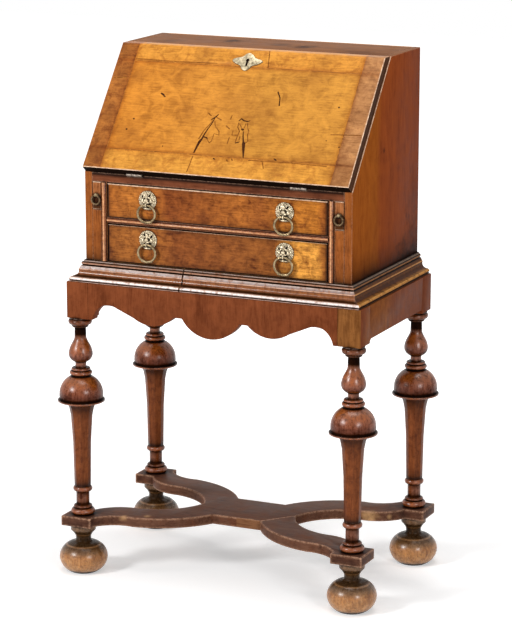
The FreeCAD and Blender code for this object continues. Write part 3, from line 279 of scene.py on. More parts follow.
def banded(direction, low, high, stops, blur=0.04, fineness=16.0):
    """Lighter and darker leaves of veneer, old fading, painted shade and painted highlights, across a piece
    in one direction.
    """
    def paint(tree, where, shade):
        run = add(tree, VECTOR_MATH, {0: where, 1: direction}, operation="DOT_PRODUCT").outputs["Value"]
        share = add(tree, RANGE, {
            "Value": drifting(tree, where, run, blur, fineness),
            "From Min": low + blur / 2, "From Max": high + blur / 2}).outputs[0]
        leaf = add(tree, RAMP, {"Fac": share}, [(at, level + (1,)) for at, level in stops]).outputs[0]
        return add(tree, MIX, {0: 1.0, 6: shade, 7: leaf}, data_type="RGBA",
                   blend_type="MULTIPLY").outputs[2]
    return paint


def by_height(tones, blur=0.8 * MM):
    """Darker and paler rings or runs at heights in millimetres: painted shade in hollows and painted
    highlights on rounds, and darkening towards a foot.
    """
    low, high = tones[0][0], tones[-1][0]
    stops = [((z - low) / (high - low), level if isinstance(level, tuple) else (level,) * 3)
             for z, level in tones]
    return banded(UPWARD, low * MM, high * MM, stops, blur)


# runs: lumps in a metre of their drift, length of their breaks in millimetres, noise levels of a broken
# and a whole run, and what is left of a broken one
RUN_FINENESS = 40.0
RUN_BREAK = 9
RUN_LEVELS = (0.32, 0.5)
BROKEN_RUN = 0.25


def runs(bands, blur=0.5 * MM):
    """Broken runs of another colour at heights in millimetres, each stop with its colour and strength."""
    def paint(tree, where, shade):
        low, high = bands[0][0], bands[-1][0]
        height = add(tree, "ShaderNodeSeparateXYZ", {"Vector": where}).outputs["Z"]
        share = add(tree, RANGE, {
            "Value": drifting(tree, where, height, blur, RUN_FINENESS),
            "From Min": low * MM + blur / 2, "From Max": high * MM + blur / 2}).outputs[0]
        stops = [((z - low) / (high - low), linear(colour)[:3] + (strength,))
                 for z, colour, strength in bands]
        ramp = add(tree, RAMP, {"Fac": share}, stops).outputs
        broken = add(tree, NOISE, {
            "Vector": where, "Scale": 1 / (RUN_BREAK * MM), "Detail": 4.0}).outputs[0]
        whole = add(tree, RANGE, {
            "Value": broken, "From Min": RUN_LEVELS[0], "From Max": RUN_LEVELS[1],
            "To Min": BROKEN_RUN}).outputs[0]
        strength = add(tree, MATH, {0: ramp["Alpha"], 1: whole}, operation="MULTIPLY").outputs[0]
        return add(tree, MIX, {0: strength, 6: shade, 7: ramp["Color"]}, data_type="RGBA").outputs[2]
    return paint


# a stain's ragged edge: its lumps in a metre, how far it wanders, and where it starts and is full, in radii
STAIN_FINENESS = 60.0
STAIN_WANDER = 2
STAIN_START, STAIN_FULL = 2.0, 1.1


def stains(spots, stain):
    """Blots at given places, each with its radius and strength, as left by ink, wet vessels and knocks."""
    def paint(tree, where, shade):
        ragged = add(tree, NOISE, {
            "Vector": where, "Scale": STAIN_FINENESS, "Detail": 5.0, "Roughness": 0.65}).outputs[0]
        for spot, radius, strength in spots:
            gap = add(tree, VECTOR_MATH, {0: where, 1: spot}, operation="DISTANCE").outputs["Value"]
            rough_gap = add(tree, MATH, {
                0: ragged, 1: STAIN_WANDER * radius, 2: gap}, operation="MULTIPLY_ADD").outputs[0]
            blot = add(tree, RANGE, {
                "Value": rough_gap, "From Min": STAIN_START * radius, "From Max": STAIN_FULL * radius,
                "To Max": strength}).outputs[0]
            shade = add(tree, MIX, {0: blot, 6: shade, 7: linear(stain)}, data_type="RGBA").outputs[2]
        return shade
    return paint


# noise levels from none of a blotch to all of it
BLOTCH_LEVELS = (0.5, 0.64)


def blotches(size, strength, stain, seed=0.0):
    """Cloudy patches of another colour all over: burr in a veneer, scuffs on a foot."""
    def paint(tree, where, shade):
        moved = add(tree, MAPPING, {"Vector": where, "Location": (seed, seed, seed)}).outputs[0]
        cloud = add(tree, NOISE, {
            "Vector": moved, "Scale": 1 / (size * MM), "Detail": 6.0, "Roughness": 0.7,
            "Distortion": 0.8}).outputs[0]
        share = add(tree, RANGE, {
            "Value": cloud, "From Min": BLOTCH_LEVELS[0], "From Max": BLOTCH_LEVELS[1],
            "To Max": strength}).outputs[0]
        return add(tree, MIX, {0: share, 6: shade, 7: linear(stain)}, data_type="RGBA").outputs[2]
    return paint


# How metal looks

# size of its clouds and of its cast grit, and reach of the dirt in its hollows, in millimetres; real grit
# is well under a millimetre, and is drawn coarser so that it shows
METAL_CLOUD, METAL_GRIT, METAL_HOLLOW = 6, 1.4, 4
# shares of a metal's colour where it is tarnished and where it is rubbed bright, by the clouds' level
TARNISHED = (0.5, 0.47, 0.42)
BRIGHT = (1.25, 1.25, 1.25)
METAL_LEVELS = (0.36, 0.5, 0.62)
METAL_GLOSS_LEVELS = (0.3, 0.7)
# shares of open sky from clean to dirty, the roughness that dirt adds, and what it hides of the metal
METAL_SKY = (0.86, 0.45)
DIRT_ROUGHNESS = 0.4
CLEAN_METAL = 0.9
CLEAN_SHEEN = 0.5
# relief of the cast grit
GRIT_STRENGTH = 0.25
GRIT_DEPTH = 0.3 * MM


def brass(name, colour, gloss, grime_and_shade=0.95):
    """Old cast brass or worked steel: pale worn high spots, brown grime in the hollows, a soft shine."""
    colours = bpy.context.scene.bureau_colours
    material, tree, shader = blank(name)
    where = add(tree, PLACE).outputs["Object"]
    cloud = add(tree, NOISE, {
        "Vector": where, "Scale": 1 / (METAL_CLOUD * MM), "Detail": 5.0, "Roughness": 0.65}).outputs[0]
    grit = add(tree, NOISE, {"Vector": where, "Scale": 1 / (METAL_GRIT * MM), "Detail": 3.0}).outputs[0]
    tones = (tint(colour, TARNISHED), colour, tint(colour, BRIGHT))
    shade = add(tree, RAMP, {"Fac": cloud}, list(zip(METAL_LEVELS, tones))).outputs[0]
    hollow = add(tree, OCCLUSION, {"Distance": METAL_HOLLOW * MM}, samples=8)
    dirt_and_shade = add(tree, RANGE, {
        "Value": hollow.outputs["AO"], "From Min": METAL_SKY[0], "From Max": METAL_SKY[1],
        "To Max": grime_and_shade}).outputs[0]
    shade = add(tree, MIX, {0: dirt_and_shade, 6: shade, 7: (*colours.grime_and_shade, 1)}, data_type="RGBA").outputs[2]
    rough = add(tree, RANGE, {
        "Value": cloud, "From Min": METAL_GLOSS_LEVELS[0], "From Max": METAL_GLOSS_LEVELS[1],
        "To Min": gloss[0], "To Max": gloss[1]}).outputs[0]
    rough = add(tree, MATH, {0: dirt_and_shade, 1: DIRT_ROUGHNESS, 2: rough}, operation="MULTIPLY_ADD").outputs[0]
    metal = add(tree, RANGE, {"Value": dirt_and_shade, "To Min": CLEAN_METAL, "To Max": 0.0}).outputs[0]
    sheen = add(tree, RANGE, {"Value": dirt_and_shade, "To Min": CLEAN_SHEEN, "To Max": 0.0}).outputs[0]
    bump = add(tree, "ShaderNodeBump", {
        "Height": grit, "Strength": GRIT_STRENGTH, "Distance": GRIT_DEPTH}).outputs[0]
    for socket, value in {"Base Color": shade, "Roughness": rough, "Metallic": metal, "Normal": bump,
                          "Specular IOR Level": sheen}.items():
        tree.links.new(value, shader.inputs[socket])
    return material


def finish(name):
    """The material of a finish, made when it is first asked for."""
    title, _, maker, settings = FINISHES[name]
    made = bpy.data.materials.get(title)
    if made is None:
        made = maker(title, (*getattr(bpy.context.scene.bureau_colours, name), 1.0), **settings)
    return made


def on_fall(x, up):
    """A place on the fall's face, in millimetres across and up the slope."""
    return tuple(ON_SLOPE @ Vector((x * MM, up * MM, FALL_FACE)))


# Tones and stains

# a tone is a share of a finish's red, green and blue, or one share for all three, at a share of the
# way across or at a height in millimetres; a stain has a place and a radius in metres, and a strength

# leaves of veneer on the fall and the drawers, from left to right
FIELD_LEAVES = [
    (0.0, (1.0, 0.88, 0.72)), (0.4, (1.0, 0.98, 0.95)), (0.62, (0.9, 0.94, 0.92)),
    (1.0, (1.0, 1.06, 1.05)),
]
# the drawers' leaves grow dark at their very ends: painted shade beside the gaps
UPPER_LEAVES = [
    (0.0, (0.6, 0.55, 0.5)), (0.03, (1.1, 1.1, 1.0)), (0.12, (1.3, 1.4, 1.25)),
    (0.22, (1.15, 1.15, 1.05)), (0.29, (0.68, 0.56, 0.6)), (0.46, (0.8, 0.74, 0.75)),
    (0.62, (1.1, 1.1, 1.0)), (0.7, (0.85, 0.8, 0.8)), (0.84, (1.3, 1.4, 1.05)),
    (0.95, (1.45, 1.6, 1.1)), (0.98, (1.0, 0.95, 0.8)), (1.0, (0.5, 0.45, 0.4)),
]
LOWER_LEAVES = [
    (0.0, (0.5, 0.45, 0.45)), (0.03, (0.9, 0.9, 0.85)), (0.1, (1.1, 1.15, 1.1)),
    (0.22, (1.2, 1.25, 1.2)), (0.32, (0.72, 0.64, 0.72)), (0.6, (0.8, 0.78, 0.85)),
    (0.78, (0.9, 0.9, 0.85)), (0.85, (2.35, 3.15, 2.6)), (0.95, (2.65, 3.7, 3.1)),
    (0.98, (1.2, 1.3, 1.1)), (1.0, (0.5, 0.45, 0.4)),
]
# planks of the case's sides and fading of the aprons, from front to back
SIDE_PLANKS = [
    (0.0, (1.12, 1.2, 0.9)), (0.36, (1.12, 1.22, 0.9)), (0.43, (0.96, 0.86, 1.0)),
    (0.8, (0.92, 0.8, 0.95)), (1.0, (0.8, 0.66, 0.85)),
]
APRON_FADE = [
    (0.0, (1, 1, 1)), (0.08, (1.15, 1.3, 0.95)), (0.3, (1.2, 1.4, 1.0)), (0.45, (1.0, 1.0, 1.0)),
    (1.0, (0.95, 0.9, 0.95)),
]
# a smudge of dark wax along each line of stringing, from one side of it to the other
VALLEY = [
    (0.0, (1, 1, 1)), (0.3, (0.94, 0.9, 0.86)), (0.46, (0.74, 0.62, 0.52)), (0.54, (0.7, 0.58, 0.48)),
    (0.7, (0.92, 0.88, 0.84)), (1.0, (1, 1, 1)),
]
SMUDGE_HALF = 0.014
SMUDGE_BLUR = 0.007
SMUDGE_FINENESS = 66.0
LINE_SMUDGES = tuple(
    banded(direction, place - SMUDGE_HALF, place + SMUDGE_HALF, VALLEY, SMUDGE_BLUR, SMUDGE_FINENESS)
    for direction, place in ((ACROSS, -FIELD_X), (ACROSS, FIELD_X), (UP_SLOPE, SLOPE_FOOT + FIELD_LOW),
                             (UP_SLOPE, SLOPE_FOOT + FIELD_HIGH)))
# smoke and thumb marks on the fall's crossbanding and on its field
CORNER_SMOKE = stains([
    (on_fall(-250, 30), 0.04, 0.5), (on_fall(250, 25), 0.05, 0.45), (on_fall(-255, 262), 0.03, 0.45),
    (on_fall(-250, 120), 0.03, 0.45), (on_fall(-252, 200), 0.02, 0.5), (on_fall(255, 150), 0.03, 0.3),
    (on_fall(120, 22), 0.03, 0.35), (on_fall(-140, 24), 0.03, 0.35), (on_fall(20, 20), 0.02, 0.3),
    (on_fall(-90, 258), 0.03, 0.35), (on_fall(150, 258), 0.03, 0.3),
], "#6a3a18")
FIELD_SMOKE = stains([
    (on_fall(-90, 130), 0.03, 0.3), (on_fall(10, 150), 0.05, 0.28), (on_fall(60, 140), 0.045, 0.3),
    (on_fall(-200, 70), 0.05, 0.4), (on_fall(-215, 200), 0.03, 0.4), (on_fall(20, 60), 0.04, 0.25),
    (on_fall(190, 60), 0.05, 0.2), (on_fall(-120, 210), 0.03, 0.25), (on_fall(140, 215), 0.03, 0.2),
    (on_fall(-20, 60), 0.03, 0.3), (on_fall(70, 95), 0.03, 0.25),
], "#7c4318")
# ink and water on the top, a knot and broad dark patches in the right side, darkest at its lower back, dark
# patches on the rail
TOP_BLOTS = stains([
    ((-0.087, 0.116, 1.0), 0.03, 0.9), ((0.072, 0.09, 1.0), 0.028, 0.9), ((0.02, 0.1, 1.0), 0.03, 0.5),
    ((0.2, 0.05, 1.0), 0.05, 0.4), ((-0.2, 0.07, 1.0), 0.04, 0.4),
], "#2c211e")
SIDE_DARK_PATCHES = stains([
    ((0.27, 0.003, 0.83), 0.007, 0.9), ((0.27, 0.17, 0.6), 0.1, 0.75), ((0.27, 0.1, 0.59), 0.06, 0.5),
    ((0.27, 0.16, 0.72), 0.06, 0.3),
], "#22100d")
RAIL_BLOTS = stains([
    ((0.1, CASE_FRONT, 0.77), 0.08, 0.4), ((-0.15, CASE_FRONT, 0.77), 0.05, 0.4),
    ((0.2, CASE_FRONT, 0.765), 0.05, 0.3),
], "#33150d")
# darker round the stretcher's pads, under the legs, and pale chips in its edges
PAD_DARKENING = stains([
    ((x * 0.279, y * 0.155, 0.104), 0.065, 0.8) for x in (-1, 1) for y in (-1, 1)
], "#2b1510")
CHIPS = stains([
    ((0.218, 0.08, 0.103), 0.02, 0.9), ((0.25, 0.1, 0.103), 0.006, 0.8),
    ((-0.2, -0.14, 0.112), 0.01, 0.7), ((-0.16, -0.12, 0.112), 0.009, 0.7),
    ((0.03, -0.06, 0.112), 0.012, 0.5),
], "#c79a6a")
# painted shade of the fall on the rail, and the case darker towards its foot, above the waist
RAIL_TONES = by_height([(760, 0.5), (761.5, 1.0), (768, 1.0), (771, 0.6), (773, 0.15), (777, 0.06)])
SIDE_FOOT = by_height([(609, 0.05), (617, 0.25), (634, 0.6), (660, 0.88), (700, 1.0)], blur=14 * MM)
CASE_FOOT = by_height([(609, 0.2), (613, 0.4), (622, 0.7), (640, 0.9), (665, 1.0)], blur=10 * MM)
# painted shade in the hollows of the turned legs and feet, and painted highlights on the rounds of the legs
LEG_BASE_SHADE_AND_HIGHLIGHTS = by_height([
    (113, 0.12), (115.5, 0.35), (119, 1.1), (123, 1.25), (126, 0.45), (127.5, 0.12), (129.5, 0.7),
    (131.5, 0.5), (133, 0.1), (136, 0.12), (140, 0.55), (147, 0.85), (154, 0.6), (158, 0.15),
    (160, 0.5), (163.5, 1.3), (167, 1.1), (169.5, 0.15), (172, 0.12), (178, 0.6), (190, 1.0),
])
LEG_CUP_SHADE_AND_HIGHLIGHTS = by_height([
    (300, 1.0), (316, 0.6), (326, 0.3), (330.5, 0.35), (332, 0.9), (336, 1.35), (339, 1.1),
    (340.2, 0.06), (344, 0.05), (347, (0.35, 0.28, 0.3)), (352, (0.55, 0.42, 0.42)),
    (360, (0.85, 0.74, 0.7)), (370, (1.2, 1.2, 1.1)), (380, (1.25, 1.4, 1.2)), (384, (1.0, 1.0, 0.9)),
    (385.5, 0.3), (386.5, 0.04), (388.5, 0.05), (390, 0.9), (393, 1.5), (395.8, 0.8), (396.8, 0.06),
    (398, 0.7), (400, 1.5), (402, 0.5), (403, 0.1), (406, 0.7), (410, 1.2), (412.8, 0.5), (414, 0.05),
    (416.5, 0.08), (418, 1.0),
])
LEG_PEAR_SHADE_AND_HIGHLIGHTS = by_height([
    (418, 1.0), (418.6, 0.35), (423, (0.6, 0.48, 0.46)), (430, (0.9, 0.82, 0.78)),
    (438, (1.2, 1.2, 1.1)), (450, (1.2, 1.25, 1.1)), (458, 1.0), (463, 0.55), (467.5, 0.06),
    (479, 0.03), (482, 0.15), (486, 0.5), (492, 0.75), (496, 0.4), (499, 0.06),
])
FOOT_TONES_AND_SHADE = by_height([
    (0, 0.15), (2.5, 0.6), (8, (1.15, 1.2, 1.25)), (16, (1.2, 1.2, 1.2)), (26, (1.15, 1.1, 1.0)),
    (36, (0.95, 0.85, 0.75)), (43, 0.5), (49, 0.24), (51.5, 0.18), (52.5, 0.5), (53.5, 0.5),
    (54.5, 0.12), (58, 0.1), (64, 0.08), (68, 0.12), (71, 0.12), (72.5, 0.35), (73.5, 0.35), (75, 0.1),
    (80, 0.16), (86, 0.4), (90, 0.45), (94, 0.1),
])
# the waist moulding from lip to fillet: painted shade in the quirks, painted highlights on the nose, arris
# and bead
MOULDING_SHADE_AND_HIGHLIGHTS = by_height([
    (570, 0.3), (570.8, 1.2), (571.7, 1.0), (572.1, 0.06), (574, 0.06), (574.5, 0.8), (576, 1.4),
    (578, 1.3), (579.2, 0.3), (579.8, 0.12), (581.6, 0.16), (583.4, (0.7, 0.62, 0.55)),
    (587, (1.1, 1.05, 0.9)), (590, (1.0, 0.9, 0.8)), (591.2, 0.6), (591.8, 1.3), (593, 1.5),
    (594, 1.0), (597, 1.1), (598.4, 0.9), (598.8, 0.05), (601.2, 0.04), (601.8, 0.7), (603, 1.2),
    (604.3, 0.9), (604.8, 0.06), (606.4, 0.06), (606.8, 1.1), (608, 1.2), (608.4, 0.04), (610, 0.03),
], blur=0.3 * MM)
# painted highlights: white and pale runs on the front's crests, where the light falls on them
FRONT_PAINTED_HIGHLIGHTS = runs([
    (570, "#c39a8a", 0.6), (571.6, "#d4b4a8", 0.8), (572.0, "#2a1712", 0.0), (574.2, "#a79390", 0.3),
    (575.0, "#f0e2dc", 0.9), (576.6, "#fff6f2", 1.0), (578.0, "#ecd8ce", 0.9), (579.0, "#c4a493", 0.4),
    (579.6, "#8c5a34", 0.0), (591.2, "#8c5a34", 0.0), (591.7, "#dcae92", 0.9), (593, "#e0b49a", 0.95),
    (593.6, "#8f7a74", 0.8), (596.6, "#a0908c", 0.85), (597.4, "#cdbcb4", 0.95),
    (598.4, "#c0aca2", 0.9), (598.8, "#2a1712", 0.0), (601.4, "#6a4a3a", 0.0),
    (602.0, "#c89a80", 0.85), (604.2, "#a87c64", 0.7), (604.8, "#3a2418", 0.0),
    (606.5, "#3a2418", 0.0), (606.9, "#c0aea4", 0.9), (608.0, "#b4a69c", 0.9), (608.4, "#2a1712", 0.0),
    (610, "#2a1712", 0.0),
], blur=0.3 * MM)
# painted shade: the returns' crests golden and their quirks black, as on a side away from the light
RETURN_PAINTED_SHADE = runs([
    (570, "#3a2010", 0.5), (571.8, "#1c0f08", 0.9), (574.2, "#1c0f08", 0.9), (574.9, "#c08040", 0.9),
    (578, "#d09448", 0.95), (579.4, "#a06a30", 0.8), (580.6, "#5a3016", 0.8), (584, "#341a0c", 0.8),
    (588, "#5a330f", 0.6), (591, "#241208", 0.85), (591.8, "#b87c44", 0.95), (593.4, "#c89058", 0.95),
    (594.2, "#5a3418", 0.8), (597.6, "#4a2a14", 0.8), (598.7, "#0e0604", 1.0), (601.3, "#0e0604", 1.0),
    (602, "#a86e3a", 0.95), (604.3, "#8a5a30", 0.9), (604.9, "#180c06", 0.95),
    (606.4, "#180c06", 0.95), (607, "#9c8876", 0.9), (608.1, "#8a7866", 0.9), (608.5, "#0c0604", 1.0),
    (610, "#0c0604", 1.0),
], blur=0.3 * MM)
# painted shade at the ends and borders of the drawers, beside their gaps, and lopers paler at the top and
# darker lower down
DRAWER_END_SHADE = banded(ACROSS, -DRAWER_HALF, DRAWER_HALF, [
    (0.0, (0.05, 0.05, 0.05)), (0.007, (0.05, 0.05, 0.05)), (0.009, (1.2, 1.2, 1.3)),
    (0.013, (1, 1, 1)), (0.987, (1, 1, 1)), (0.992, (0.4, 0.4, 0.4)), (1.0, (0.05, 0.05, 0.05)),
], blur=MM)
UPPER_BORDER_SHADE = by_height([
    (694, 0.3), (698, 0.75), (704, 1.0), (746, 1.0), (753, 0.85), (757, 0.6), (759, 0.4),
], blur=3 * MM)
LOWER_BORDER_SHADE = by_height([
    (609, 0.3), (614, 0.75), (621, 1.0), (668, 1.0), (675, 0.85), (679.5, 0.6), (682, 0.4),
], blur=3 * MM)
LOPER_TONES = by_height([
    (706, 1.0), (708.5, 0.25), (722, 0.2), (733, 0.3), (739, (1.2, 1.3, 1.6)), (756, (1.2, 1.3, 1.6)),
    (760, 0.6),
])


# Finishes: the material's name, the record's slot, what makes it, and its settings

